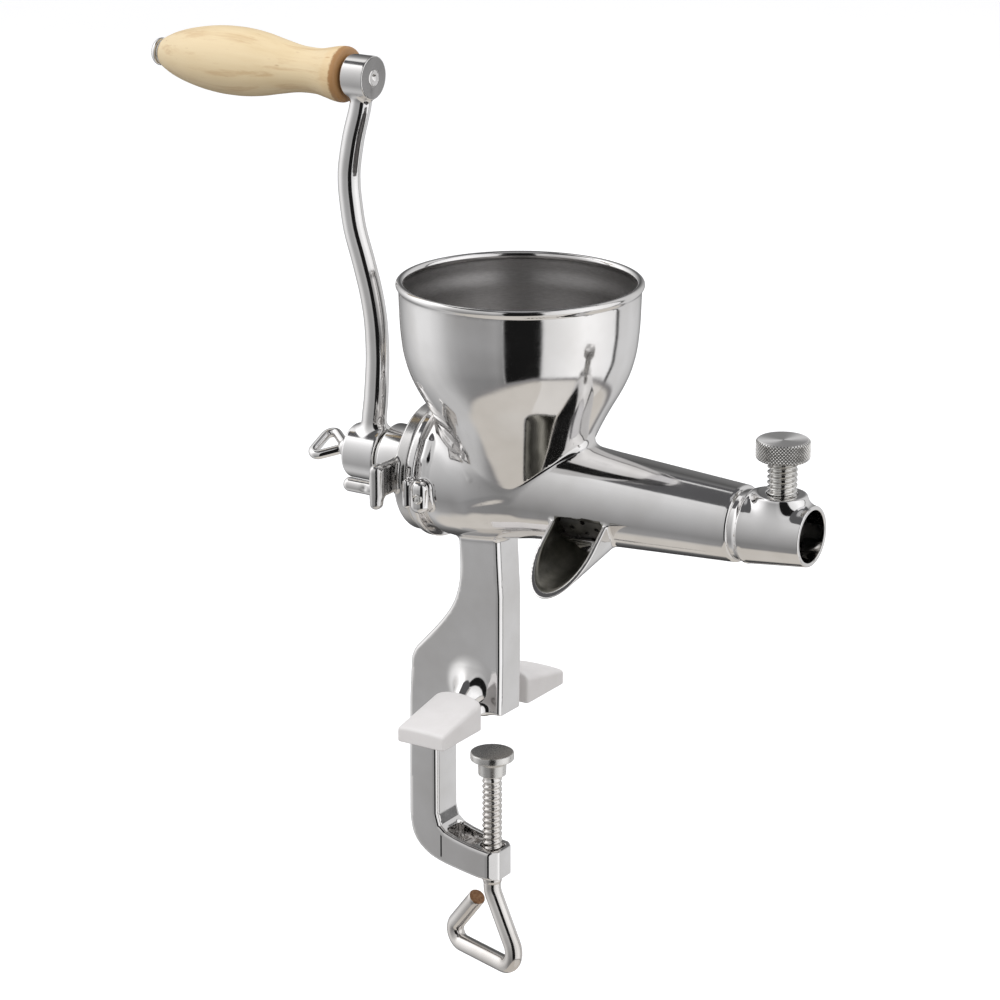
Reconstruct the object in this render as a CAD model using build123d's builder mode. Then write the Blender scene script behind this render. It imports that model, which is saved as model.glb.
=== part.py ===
from build123d import *
import math
import os

# Hand-crank auger juicer with a table clamp, polished stainless steel.
# Frame: +X from the crank towards the pulp outlet, +Z up, +Y to the far side.
# Origin: on the table-top plane (Z = 0), at the inner face of the clamp spine
# (X = 0) where it meets the table edge, on the mid-plane of the machine (Y = 0).
# All dimensions in millimetres.

os.makedirs("parts", exist_ok=True)

# ---------------------------------------------------------------- driving sizes
axis_z = 124.0          # height of the auger axis above the table top
hopper_x = 43.0         # vertical axis of the hopper
hopper_rim_z = 224.0    # top of the rolled rim
hopper_rim_r = 58.0     # outer radius of the bowl under the rim
hopper_wall = 2.0

flange_x0, flange_x1, flange_r = -1.0, 3.5, 34.0
barrel_end_x = 167.0
# outer radius of the barrel along X
barrel_outer = [(3.5, 31.6), (12.0, 31.0), (32.0, 30.3), (43.0, 28.4), (55.0, 26.0),
                (75.0, 24.0), (94.0, 22.6), (143.0, 19.7), (barrel_end_x, 18.3)]
# bore radius of the barrel along X
barrel_bore = [(flange_x0, 27.6), (14.0, 27.6), (30.0, 26.6), (55.0, 22.2), (75.0, 20.3), (94.0, 18.9),
               (143.0, 16.0), (157.0, 15.2)]
socket_r = 15.2         # straight socket for the nozzle spigot
spigot_x0 = 158.0

screen_x0, screen_x1, screen_t = 70.0, 110.0, 1.0
port_x0, port_x1 = 78.0, 102.0

spout_x = 90.0          # centre of the juice spout
spout_r = 15.0          # half width of the spout
spout_wall = 1.8
spout_drop = 0.205      # fall of the spout floor per mm of run

nozzle_end_x = 202.4
nozzle_end_r = 14.3
nozzle_wall = 1.9
press_x = 186.0         # axis of the pulp pressure screw
press_r = 7.0           # M14 stud
press_boss_r, press_boss_z = 12.0, axis_z + 18.2
knob_r, knob_z0, knob_z1 = 12.75, axis_z + 34.8, axis_z + 44.6
press_tip_z = axis_z + 4.0

shaft_r = 8.9
shaft_square = 12.0
bush_r = 13.0
sleeve_r, sleeve_x0, sleeve_x1 = 17.0, -30.0, -2.0
cover_r, cover_x0, cover_x1 = 32.3, -9.5, -1.6
ear_x0, ear_x1, ear_reach, ear_half = -12.0, -6.2, 50.0, 11.0
peg_r, peg_y, peg_end_x = 3.5, -46.0, -28.0

hub_x0, hub_x1, hub_r = -53.4, -34.3, 13.8
crank_r = 188.0         # crank radius, shaft axis to grip axis
grip_z = axis_z + crank_r
boss_x0, boss_x1, boss_r = -53.3, -40.1, 10.5
arm_r = 5.9
bolt_r = 4.0
wire_r = 2.4            # wing screw wire
wing_roll = 24.0        # wing ring plane, degrees below horizontal on the near side

leg_y = 10.0            # half thickness of the clamp frame
jaw_z = 3.5             # underside of the upper jaw above the table
foot_x0, foot_x1, foot_y0, foot_y1 = 7.8, 34.6, 21.0, 55.5
arm_y = 9.0             # half width of the lower arm
screw_x = 27.0          # axis of the clamp screw
screw_r = 5.0
table_t = 20.0          # table thickness the clamp is closed on
handle_wire_r = 4.4
handle_yaw = -19.0      # direction of the clamp handle's bottom leg


def interp(points, x):
    """Radius at x along a list of (x, r) points."""
    for (x0, r0), (x1, r1) in zip(points, points[1:]):
        if x <= x1:
            return r0 + (r1 - r0) * (x - x0) / (x1 - x0)
    return points[-1][1]


def turned(pairs):
    """Points of a profile in the XZ plane, radii measured from the auger axis."""
    return [(x, axis_z + r) for x, r in pairs]


shaft_axis = Axis((0, 0, axis_z), (1, 0, 0))
grip_axis = Axis((0, 0, grip_z), (1, 0, 0))
hopper_axis = Axis((hopper_x, 0, 0), (0, 0, 1))
press_axis = Axis((press_x, 0, 0), (0, 0, 1))

# Solid envelope of the barrel, used to trim what is welded to it.
barrel_profile = ([(flange_x0, 0), (flange_x0, flange_r), (flange_x1, flange_r)]
                  + barrel_outer + [(barrel_end_x, 0)])
with BuildPart() as barrel_envelope:
    with BuildSketch(Plane.XZ):
        with BuildLine():
            Polyline(*turned(barrel_profile), close=True)
        make_face()
    revolve(axis=shaft_axis)

# ---------------------------------------------------------------- hopper bowl
# Spun bowl: near-vertical wall below a rolled rim, closing to a funnel that
# wraps the upper half of the barrel.
bowl_outer = [(28.2, 0), (31.3, 10), (35.0, 20), (40.0, 31), (44.8, 40), (49.3, 47.5),
              (53.3, 56), (56.0, 66), (57.2, 78), (58.0, 97)]
rim_bead = 1.9
with BuildPart() as hopper_bowl:
    with BuildSketch(Plane.XZ):
        with BuildLine():
            outer = Spline(*[(hopper_x + r, axis_z + z) for r, z in bowl_outer])
            inner = Spline(*[(hopper_x + r - hopper_wall, axis_z + z + 0.4)
                             for r, z in bowl_outer])
            Line(outer @ 0, inner @ 0)
            Line(outer @ 1, inner @ 1)
        make_face()
        with Locations((hopper_x + hopper_rim_r - 0.6, hopper_rim_z - rim_bead)):
            Circle(rim_bead)
    revolve(axis=hopper_axis)
    add(barrel_envelope.part, mode=Mode.SUBTRACT)
    # keep the funnel above the barrel's mid-plane and clear of the rear cover
    with BuildSketch(Plane.XY.offset(axis_z - 2)):
        Rectangle(200, 200)
    extrude(amount=4, mode=Mode.SUBTRACT)
    with BuildSketch(Plane.YZ.offset(-40)):
        with Locations((0, axis_z)):
            Circle(40)
    extrude(amount=40 + flange_x0 + 1.0, mode=Mode.SUBTRACT)
hopper_bowl.part.label = "hopper_bowl"

# ---------------------------------------------------------------- barrel
bore_profile = [(flange_x0 - 1, 0), (flange_x0 - 1, 27.6)] + barrel_bore + [
    (barrel_end_x + 1, socket_r), (barrel_end_x + 1, 0)]
lug_x0, lug_x1 = 6.2, 10.0
with BuildPart() as barrel_housing:
    add(barrel_envelope.part)
    # stop bosses on the near and far sides of the flange
    with BuildSketch(Plane.YZ.offset(flange_x0)):
        with Locations((-33.2, axis_z - 4.5), (33.2, axis_z - 4.5)):
            RectangleRounded(10.6, 17, 4)
    extrude(amount=14.5)
    with BuildSketch(Plane.XZ):
        with BuildLine():
            Polyline(*turned(bore_profile), close=True)
        make_face()
    revolve(axis=shaft_axis, mode=Mode.SUBTRACT)
    # seat for the strainer
    with BuildSketch(Plane.XZ):
        with BuildLine():
            Polyline(*turned([(screen_x0 - 0.3, 0), (screen_x0 - 0.3, interp(barrel_bore, screen_x0) + 1.2),
                              (screen_x1 + 0.3, interp(barrel_bore, screen_x1) + 1.2),
                              (screen_x1 + 0.3, 0)]), close=True)
        make_face()
    revolve(axis=shaft_axis, mode=Mode.SUBTRACT)
    # feed throat under the hopper
    with BuildSketch(Plane.XY.offset(axis_z + 8)):
        with Locations((hopper_x - 1, 0)):
            Ellipse(25, 20)
    extrude(amount=40, mode=Mode.SUBTRACT)
    # juice port in the lower near side
    with BuildSketch(Plane.XZ):
        with Locations(((port_x0 + port_x1) / 2, axis_z - 13.5)):
            RectangleRounded(port_x1 - port_x0, 10, 4)
    extrude(amount=40, mode=Mode.SUBTRACT)
    # bayonet groove and its two entry slots
    with BuildSketch(Plane.YZ.offset(lug_x0 - 0.4)):
        with Locations((0, axis_z)):
            Circle(29.8)
    extrude(amount=lug_x1 - lug_x0 + 0.8, mode=Mode.SUBTRACT)
    for side in (1, -1):
        with BuildSketch(Plane.YZ.offset(flange_x0 - 1)):
            with BuildLine():
                a0, a1 = math.radians(90 - 58), math.radians(90 - 28)
                pts = [(0, axis_z)] + [
                    (side * 30.2 * math.cos(a), axis_z + side * 30.2 * math.sin(a))
                    for a in [a0 + (a1 - a0) * i / 6 for i in range(7)]]
                Polyline(*pts, close=True)
            make_face()
        extrude(amount=lug_x0 + 2.0, mode=Mode.SUBTRACT)
barrel_housing.part.label = "barrel_housing"

# peened stop pins in the two bosses
with BuildPart() as bayonet_pins:
    for side in (-1, 1):
        with BuildSketch(Plane.XZ.offset(-side * 38.5)):
            with Locations((9.0, axis_z - 5.0)):
                Circle(2.6)
        extrude(amount=0.8 * (1 if side < 0 else -1))
bayonet_pins.part.label = "bayonet_pins"

# ---------------------------------------------------------------- juice spout
floor_z = axis_z - 24.0 + 4 * spout_drop
run = Vector(0, -1, -spout_drop).normalized()
with BuildPart() as juice_spout:
    with BuildSketch(Plane.XZ.offset(-4)):
        with Locations((spout_x, floor_z + spout_r)):
            Circle(spout_r)
        with Locations((spout_x, floor_z + spout_r + 9)):
            Rectangle(2 * spout_r, 18)
    extrude(amount=64, dir=run)
    with BuildSketch(Plane.XZ.offset(-4)):
        with Locations((spout_x, floor_z + spout_r)):
            Circle(spout_r - spout_wall)
        with Locations((spout_x, floor_z + spout_r + 12)):
            Rectangle(2 * (spout_r - spout_wall), 24)
    extrude(amount=70, dir=run, mode=Mode.SUBTRACT)
    # sloping rim
    with BuildSketch(Plane.YZ.offset(spout_x - 30)):
        with BuildLine():
            Polyline((-17.0, axis_z - 2.1), (-70.0, axis_z - 47.4), (-90.0, axis_z + 60),
                     (-17.0, axis_z + 60), close=True)
        make_face()
    extrude(amount=60, mode=Mode.SUBTRACT)
    add(barrel_envelope.part, mode=Mode.SUBTRACT)
    # only the part below the barrel stays
    with BuildSketch(Plane.XY.offset(axis_z + 1)):
        with Locations((spout_x, 0)):
            Rectangle(80, 90)
    extrude(amount=60, mode=Mode.SUBTRACT)
    with BuildSketch(Plane.XZ.offset(-1.0)):
        with Locations((spout_x, axis_z)):
            Rectangle(80, 120)
    extrude(amount=-20, mode=Mode.SUBTRACT)
juice_spout.part.label = "juice_spout"

# ---------------------------------------------------------------- strainer
s0, s1 = interp(barrel_bore, screen_x0) + 1.1, interp(barrel_bore, screen_x1) + 1.1
with BuildPart() as strainer_screen:
    with BuildSketch(Plane.XZ):
        with BuildLine():
            Polyline(*turned([(screen_x0, s0), (screen_x1, s1), (screen_x1, s1 - screen_t),
                              (screen_x0, s0 - screen_t)]), close=True)
        make_face()
    revolve(axis=shaft_axis)
    for i in range(5):
        x = screen_x0 + 7 + 6.5 * i
        for k in range(5):
            ang = 180 + 22.5 * k + (11.25 if i % 2 else 0)
            place = Plane(origin=(x, 0, axis_z),
                          x_dir=(1, 0, 0),
                          z_dir=(0, math.cos(math.radians(ang)), math.sin(math.radians(ang))))
            with BuildSketch(place.offset(10)):
                Circle(1.3)
            extrude(amount=20, mode=Mode.SUBTRACT)
strainer_screen.part.label = "strainer_screen"

# ---------------------------------------------------------------- outlet nozzle
with BuildPart() as outlet_nozzle:
    with BuildSketch(Plane.XZ):
        with BuildLine():
            Polyline(*turned([(spigot_x0, 0), (spigot_x0, socket_r - 0.1), (barrel_end_x, socket_r - 0.1),
                              (barrel_end_x, 18.2), (168.6, 18.0), (169.8, 17.4), (171.2, 17.5),
                              (172.5, 17.4), (nozzle_end_x, nozzle_end_r), (nozzle_end_x, 0)]), close=True)
        make_face()
    revolve(axis=shaft_axis)
    with BuildSketch(Plane.XY.offset(axis_z)):
        with Locations((press_x, 0)):
            Circle(press_boss_r)
    extrude(amount=press_boss_z - axis_z)
    top = faces().filter_by(Axis.Z).sort_by(Axis.Z)[-1]
    chamfer(top.edges(), length=0.6)
    with BuildSketch(Plane.XZ):
        with BuildLine():
            Polyline(*turned([(spigot_x0 - 1, 0), (spigot_x0 - 1, 13.3), (barrel_end_x, 13.3),
                              (nozzle_end_x + 1, nozzle_end_r - nozzle_wall),
                              (nozzle_end_x + 1, 0)]), close=True)
        make_face()
    revolve(axis=shaft_axis, mode=Mode.SUBTRACT)
    with BuildSketch(Plane.XY.offset(axis_z)):
        with Locations((press_x, 0)):
            Circle(press_r + 0.05)
    extrude(amount=40, mode=Mode.SUBTRACT)
outlet_nozzle.part.label = "outlet_nozzle"

# ---------------------------------------------------------------- pressure screw
with BuildPart() as pressure_screw_stud:
    with BuildSketch(Plane.XZ):
        with BuildLine():
            Polyline((press_x, press_tip_z), (press_x + 5.6, press_tip_z), (press_x + press_r, press_tip_z + 1.4),
                     (press_x + press_r, knob_z0 + 6.0), (press_x, knob_z0 + 6.0), close=True)
        make_face()
    revolve(axis=press_axis)
pressure_screw_stud.part.label = "pressure_screw_stud"

with BuildPart() as pressure_screw_knob:
    with BuildSketch(Plane.XZ):
        with BuildLine():
            Polyline((press_x + press_r + 0.06, knob_z0), (press_x + knob_r - 1.0, knob_z0),
                     (press_x + knob_r, knob_z0 + 1.0), (press_x + knob_r, knob_z1 - 1.0),
                     (press_x + knob_r - 1.0, knob_z1), (press_x + 3.0, knob_z1 - 0.7), (press_x, knob_z1 - 0.9),
                     (press_x, knob_z0 + 6.3), (press_x + press_r + 0.06, knob_z0 + 6.3), close=True)
        make_face()
    revolve(axis=press_axis)
pressure_screw_knob.part.label = "pressure_screw_knob"

# ---------------------------------------------------------------- auger and shaft
# The flight is a round lobe wound along the core: each section is an eccentric
# circle, turned a little further than the one behind it.
auger_x0, auger_x1, auger_steps = 12.5, 154.0, 34
with BuildPart() as auger:
    for i in range(auger_steps + 1):
        x = auger_x0 + (auger_x1 - auger_x0) * i / auger_steps
        limit = interp(barrel_bore, x) - 0.9
        core = 0.62 * limit
        ecc = limit - core
        turn = math.radians(60.0 * i)
        with BuildSketch(Plane.YZ.offset(x)):
            with Locations((ecc * math.cos(turn), axis_z + ecc * math.sin(turn))):
                Circle(core)
    loft()
auger.part.label = "auger"

with BuildPart() as auger_shaft:
    with BuildSketch(Plane.YZ.offset(auger_x0)):
        with Locations((0, axis_z)):
            Circle(shaft_r)
    extrude(amount=-(auger_x0 + 34.2))
    with BuildSketch(Plane.YZ.offset(-34.2)):
        with Locations((0, axis_z)):
            Rectangle(shaft_square, shaft_square)
    extrude(amount=-17.0)
    with BuildSketch(Plane.YZ.offset(-60)):
        with Locations((0, axis_z)):
            Circle(4.0)
    extrude(amount=60 - 33, mode=Mode.SUBTRACT)
auger_shaft.part.label = "auger_shaft"

# ---------------------------------------------------------------- rear cover
with BuildPart() as rear_cover:
    with BuildSketch(Plane.XZ):
        with BuildLine():
            Polyline(*turned([(cover_x0, 0), (cover_x0, cover_r - 1.6), (cover_x0 + 1.6, cover_r),
                              (cover_x1, cover_r), (cover_x1, 27.2), (10.0, 27.1), (10.0, 22.5),
                              (3.0, 22.5), (3.0, 0)]), close=True)
        make_face()
    revolve(axis=shaft_axis)
    # ear lever towards the near side, with a rounded end
    with BuildSketch(Plane.YZ.offset(ear_x0)):
        with Locations((-(ear_reach - 7) / 2 - 7, axis_z)):
            Rectangle(ear_reach - 14, 2 * ear_half)
        with Locations((-(ear_reach - 8), axis_z)):
            RectangleRounded(16, 2 * ear_half, 6)
    extrude(amount=ear_x1 - ear_x0)
    # bayonet lugs on the spigot
    for side in (1, -1):
        with BuildSketch(Plane.YZ.offset(lug_x0)):
            with BuildLine():
                pts = [(0, axis_z + side * 20)] + [
                    (side * 29.4 * math.cos(a), axis_z + side * 29.4 * math.sin(a))
                    for a in [math.radians(78 + 4 * i) for i in range(7)]]
                Polyline(*pts, close=True)
            make_face()
        extrude(amount=lug_x1 - lug_x0)
    # bore for the bearing sleeve, then a smaller one for the shaft
    with BuildSketch(Plane.YZ.offset(-40)):
        with Locations((0, axis_z)):
            Circle(sleeve_r)
    extrude(amount=40 + sleeve_x1, mode=Mode.SUBTRACT)
    with BuildSketch(Plane.YZ.offset(-40)):
        with Locations((0, axis_z)):
            Circle(shaft_r + 0.3)
    extrude(amount=60, mode=Mode.SUBTRACT)
rear_cover.part.label = "rear_cover"

with BuildPart() as cover_peg:
    with BuildSketch(Plane.XZ.offset(-peg_y)):
        with BuildLine():
            z0 = axis_z - 1.0
            Polyline((ear_x0, z0), (ear_x0, z0 + peg_r), (peg_end_x + 2.6, z0 + peg_r),
                     (peg_end_x + 0.8, z0 + peg_r * 0.78), (peg_end_x, z0 + peg_r * 0.35), (peg_end_x, z0), close=True)
        make_face()
    revolve(axis=Axis((0, peg_y, axis_z - 1.0), (1, 0, 0)))
cover_peg.part.label = "cover_peg"

with BuildPart() as bearing_sleeve:
    with BuildSketch(Plane.XZ):
        with BuildLine():
            Polyline(*turned([(sleeve_x0, bush_r), (sleeve_x0, sleeve_r - 0.8), (sleeve_x0 + 0.8, sleeve_r),
                              (sleeve_x1, sleeve_r), (sleeve_x1, bush_r)]), close=True)
        make_face()
    revolve(axis=shaft_axis)
bearing_sleeve.part.label = "bearing_sleeve"

with BuildPart() as shaft_bush:
    with BuildSketch(Plane.XZ):
        with BuildLine():
            Polyline(*turned([(sleeve_x0 + 0.5, shaft_r + 0.08), (sleeve_x0 + 0.5, bush_r),
                              (sleeve_x1, bush_r), (sleeve_x1, shaft_r + 0.08)]), close=True)
        make_face()
    revolve(axis=shaft_axis)
shaft_bush.part.label = "shaft_bush"

with BuildPart() as seal_ring:
    with BuildSketch(Plane.XZ):
        with BuildLine():
            Polyline(*turned([(cover_x1, 27.7), (cover_x1, 32.0), (-1.3, 32.0), (-1.3, 27.7)]), close=True)
        make_face()
    revolve(axis=shaft_axis)
seal_ring.part.label = "seal_ring"

with BuildPart() as thrust_washer:
    with BuildSketch(Plane.XZ):
        with BuildLine():
            Polyline(*turned([(10.6, shaft_r + 0.1), (10.6, 16.0), (12.2, 16.0), (12.2, shaft_r + 0.1)]), close=True)
        make_face()
    revolve(axis=shaft_axis)
thrust_washer.part.label = "thrust_washer"

# ---------------------------------------------------------------- crank
arm_path = [(-42.6, 130.0), (-42.2, 141.2), (-41.0, 152.0), (-39.9, 169.0), (-39.9, 181.0), (-40.9, 194.0),
            (-43.5, 207.3), (-47.8, 222.1), (-52.4, 236.8), (-54.8, 251.8), (-55.4, 260.0),
            (-55.0, 268.0), (-52.4, 282.3), (-48.6, 296.0), (-46.8, 304.0)]
with BuildPart() as crank_arm:
    with BuildLine(Plane.XZ):
        arm_line = Spline(*arm_path)
    with BuildSketch(Plane(origin=arm_line @ 0, z_dir=arm_line % 0)):
        Ellipse(arm_r, arm_r - 0.4)
    sweep(path=arm_line)
    with BuildSketch(Plane.YZ.offset(hub_x0)):
        with Locations((0, axis_z)):
            Circle(hub_r)
    extrude(amount=hub_x1 - hub_x0)
    with BuildSketch(Plane.YZ.offset(boss_x0)):
        with Locations((0, grip_z)):
            Circle(boss_r)
    extrude(amount=boss_x1 - boss_x0)
    with BuildSketch(Plane.YZ.offset(-70)):
        with Locations((0, axis_z)):
            Rectangle(shaft_square + 0.1, shaft_square + 0.1)
        with Locations((0, grip_z)):
            Circle(bolt_r + 0.02)
    extrude(amount=50, mode=Mode.SUBTRACT)
crank_arm.part.label = "crank_arm"

with BuildPart() as hub_washer:
    with BuildSketch(Plane.XZ):
        with BuildLine():
            Polyline(*turned([(-33.7, shaft_r + 0.1), (-33.7, 12.4), (-32.3, 12.4), (-32.3, shaft_r + 0.1)]), close=True)
        make_face()
    revolve(axis=shaft_axis)
hub_washer.part.label = "hub_washer"

# ---------------------------------------------------------------- grip
grip_profile = [(-54.9, 12.6), (-56.6, 13.5), (-61.0, 13.3), (-66.0, 12.2), (-72.5, 11.1), (-83.0, 11.4),
                (-94.0, 13.3), (-105.0, 15.5), (-115.6, 16.7), (-126.5, 16.8), (-137.5, 15.8),
                (-148.5, 13.7), (-157.0, 11.2), (-163.0, 8.6), (-166.3, 6.3)]
with BuildPart() as handle_grip:
    with BuildSketch(Plane.XZ):
        with BuildLine():
            edge = Spline(*[(x, grip_z + r) for x, r in grip_profile])
            Polyline(edge @ 0, (grip_profile[0][0], grip_z + bolt_r + 0.15),
                     (grip_profile[-1][0], grip_z + bolt_r + 0.15), edge @ 1)
        make_face()
    revolve(axis=grip_axis)
handle_grip.part.label = "handle_grip"

with BuildPart() as grip_bolt:
    with BuildSketch(Plane.XZ):
        with BuildLine():
            Polyline((boss_x1 + 0.9, grip_z), (boss_x1 + 0.9, grip_z + 1.8), (boss_x1, grip_z + bolt_r),
                     (-167.6, grip_z + bolt_r), (-167.6, grip_z + 6.8), (-169.2, grip_z + 6.6),
                     (-170.9, grip_z + 4.8), (-171.8, grip_z + 2.4), (-172.0, grip_z), close=True)
        make_face()
    revolve(axis=grip_axis)
grip_bolt.part.label = "grip_bolt"

with BuildPart() as grip_washers:
    with BuildSketch(Plane.XZ):
        with BuildLine():
            Polyline((-54.4, grip_z + bolt_r + 0.02), (-54.4, grip_z + 8.0), (boss_x0 - 0.05, grip_z + 8.0),
                     (boss_x0 - 0.05, grip_z + bolt_r + 0.02), close=True)
        make_face()
        with BuildLine():
            Polyline((-167.5, grip_z + bolt_r + 0.02), (-167.5, grip_z + 6.0), (-166.7, grip_z + 6.0),
                     (-166.7, grip_z + bolt_r + 0.02), close=True)
        make_face()
    revolve(axis=grip_axis)
grip_washers.part.label = "grip_washers"

# ---------------------------------------------------------------- wing screw
roll = math.radians(wing_roll)
wing_plane = Plane(origin=(0, 0, axis_z), x_dir=(1, 0, 0),
                   z_dir=(0, -math.sin(roll), math.cos(roll)))
with BuildPart() as wing_screw:
    with BuildLine(wing_plane) as ring_line:
        FilletPolyline((-59.0, 0.0), (-75.4, 12.6), (-75.4, -12.6), radius=3.6, close=True)
    ring = ring_line.wires()[0]
    with BuildSketch(Plane(origin=ring @ 0, z_dir=ring % 0)):
        Circle(wire_r)
    sweep(path=ring)
    with BuildSketch(Plane.XZ):
        with BuildLine():
            Polyline(*turned([(-63.5, 0), (-63.5, 2.2), (-60.5, 4.6), (-54.9, 5.0), (-54.9, 3.93), (-36.0, 3.93), (-35.2, 3.1),
                              (-35.2, 0)]), close=True)
        make_face()
    revolve(axis=shaft_axis)
wing_screw.part.label = "wing_screw"

with BuildPart() as lock_washer:
    with BuildSketch(Plane.XZ):
        with BuildLine():
            Polyline(*turned([(-54.8, 4.02), (-54.8, 9.5), (-53.5, 9.5), (-53.5, 4.02)]), close=True)
        make_face()
    revolve(axis=shaft_axis)
lock_washer.part.label = "lock_washer"

# ---------------------------------------------------------------- clamp frame
neck_profile = [(13.1, 98.0), (13.4, 90.0), (14.2, 76.0), (13.2, 66.0), (11.0, 59.5), (3.2, 48.0), (-6.0, 36.8),
                (-12.4, 28.0), (-15.3, 18.0), (-16.2, jaw_z), (37.6, jaw_z), (38.0, 65.0),
                (36.8, 85.0), (36.4, 98.0)]
with BuildPart() as clamp_neck:
    with BuildSketch(Plane.XZ.offset(-leg_y)):
        with BuildLine():
            Polyline(*neck_profile, close=True)
        make_face()
    extrude(amount=2 * leg_y)
    add(barrel_envelope.part, mode=Mode.SUBTRACT)
clamp_neck.part.label = "clamp_neck"

with BuildPart() as clamp_spine:
    with BuildSketch(Plane.XZ.offset(-leg_y)):
        with BuildLine():
            Polyline((0.0, jaw_z), (0.0, -60.0), (-16.8, -60.0), (-16.2, jaw_z), close=True)
        make_face()
    extrude(amount=2 * leg_y)
clamp_spine.part.label = "clamp_spine"

lower_profile = [(0.0, -60.0), (1.5, -64.0), (10.5, -67.3), (19.5, -69.2), (34.6, -71.2), (34.6, -86.2),
                 (26.7, -86.2), (13.5, -84.0), (0.8, -81.8), (-7.1, -78.2), (-13.0, -72.0), (-16.0, -66.0),
                 (-16.8, -60.0)]
with BuildPart() as lower_arm:
    with BuildSketch(Plane.XZ.offset(-leg_y)):
        with BuildLine():
            Polyline(*lower_profile, close=True)
        make_face()
    extrude(amount=2 * leg_y)
    # chamfered nose
    upright = edges().filter_by(Axis.Z).group_by(Axis.X)[-1]
    chamfer(upright, length=4.0)
    # hollow top between the side walls
    with BuildSketch(Plane.XY.offset(-80.0)):
        with Locations((10.5, 0)):
            RectangleRounded(15, 13.0, 3)
    extrude(amount=30, mode=Mode.SUBTRACT)
    # threaded hole for the clamp screw
    with BuildSketch(Plane.XY.offset(-100)):
        with Locations((screw_x, 0)):
            Circle(screw_r + 0.06)
    extrude(amount=60, mode=Mode.SUBTRACT)
lower_arm.part.label = "lower_arm"

# jaw arms: wedges reaching out to both sides under the neck, into the feet
arm_wedge = [(leg_y, 3.2), (foot_y1 - 3.5, 3.2), (foot_y1 - 3.5, 5.4), (foot_y0, 13.4), (16.0, 18.0), (leg_y, 30.0)]
foot_wedge = [(foot_y1, 0.0), (foot_y1, 8.0), (foot_y0, 17.2), (foot_y0, 0.0)]
for side, tag in ((-1, "near"), (1, "far")):
    with BuildPart() as jaw_arm:
        with BuildSketch(Plane.YZ.offset(12.0)):
            with BuildLine():
                Polyline(*[(side * y, z) for y, z in arm_wedge], close=True)
            make_face()
        extrude(amount=18.0)
    jaw_arm.part.label = "jaw_arm_" + tag
    export_step(jaw_arm.part, "parts/jaw_arm_" + tag + ".step")
    with BuildPart() as rubber_foot:
        with BuildSketch(Plane.YZ.offset(foot_x0)):
            with BuildLine():
                Polyline(*[(side * y, z) for y, z in foot_wedge], close=True)
            make_face()
        extrude(amount=foot_x1 - foot_x0)
        long_edges = edges().filter_by(Axis.Z).group_by(SortBy.LENGTH)[0]
        chamfer(long_edges, length=2.0)
        add(jaw_arm.part, mode=Mode.SUBTRACT)
    rubber_foot.part.label = "rubber_foot_" + tag
    export_step(rubber_foot.part, "parts/rubber_foot_" + tag + ".step")

# ---------------------------------------------------------------- clamp screw
yaw = math.radians(handle_yaw)
handle_plane = Plane(origin=(screw_x, 0, 0), x_dir=(math.cos(yaw), math.sin(yaw), 0),
                     z_dir=(math.sin(yaw), -math.cos(yaw), 0))
with BuildPart() as clamp_screw:
    with BuildLine(handle_plane) as handle_line:
        FilletPolyline((0.0, -88.0), (0.0, -95.0), (24.5, -132.0), (-38.5, -133.4), (-12.6, -103.5),
                       radius=(9.0, 8.5, 6.4))
    handle = handle_line.wires()[0]
    with BuildSketch(Plane(origin=handle @ 0, z_dir=handle % 0)):
        Circle(handle_wire_r)
    sweep(path=handle)
    with BuildSketch(Plane.XZ):
        with BuildLine():
            Polyline((screw_x, -88.9), (screw_x + 4.9, -88.9), (screw_x + screw_r, -88.4), (screw_x + screw_r, -34.0),
                     (screw_x + 4.2, -33.2), (screw_x + 4.2, -24.6), (screw_x, -24.6), close=True)
        make_face()
    revolve(axis=Axis((screw_x, 0, 0), (0, 0, 1)))
clamp_screw.part.label = "clamp_screw"

with BuildPart() as clamp_pad:
    with BuildSketch(Plane.XZ):
        with BuildLine():
            Polyline((screw_x, -table_t), (screw_x + 10.2, -table_t), (screw_x + 11.0, -table_t - 0.8),
                     (screw_x + 11.0, -table_t - 3.4), (screw_x + 7.2, -table_t - 5.4), (screw_x + 7.0, -32.0),
                     (screw_x + 4.28, -32.0), (screw_x + 4.28, -24.2), (screw_x, -24.2), close=True)
        make_face()
    revolve(axis=Axis((screw_x, 0, 0), (0, 0, 1)))
clamp_pad.part.label = "clamp_pad"

for piece in (hopper_bowl, barrel_housing, bayonet_pins, juice_spout, strainer_screen, outlet_nozzle,
              pressure_screw_stud, pressure_screw_knob, auger, auger_shaft, rear_cover, cover_peg,
              bearing_sleeve, shaft_bush, seal_ring, thrust_washer, crank_arm, hub_washer, handle_grip,
              grip_bolt, grip_washers, wing_screw, lock_washer, clamp_neck, clamp_spine, lower_arm,
              clamp_screw, clamp_pad):
    export_step(piece.part, "parts/" + piece.part.label + ".step")
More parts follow.
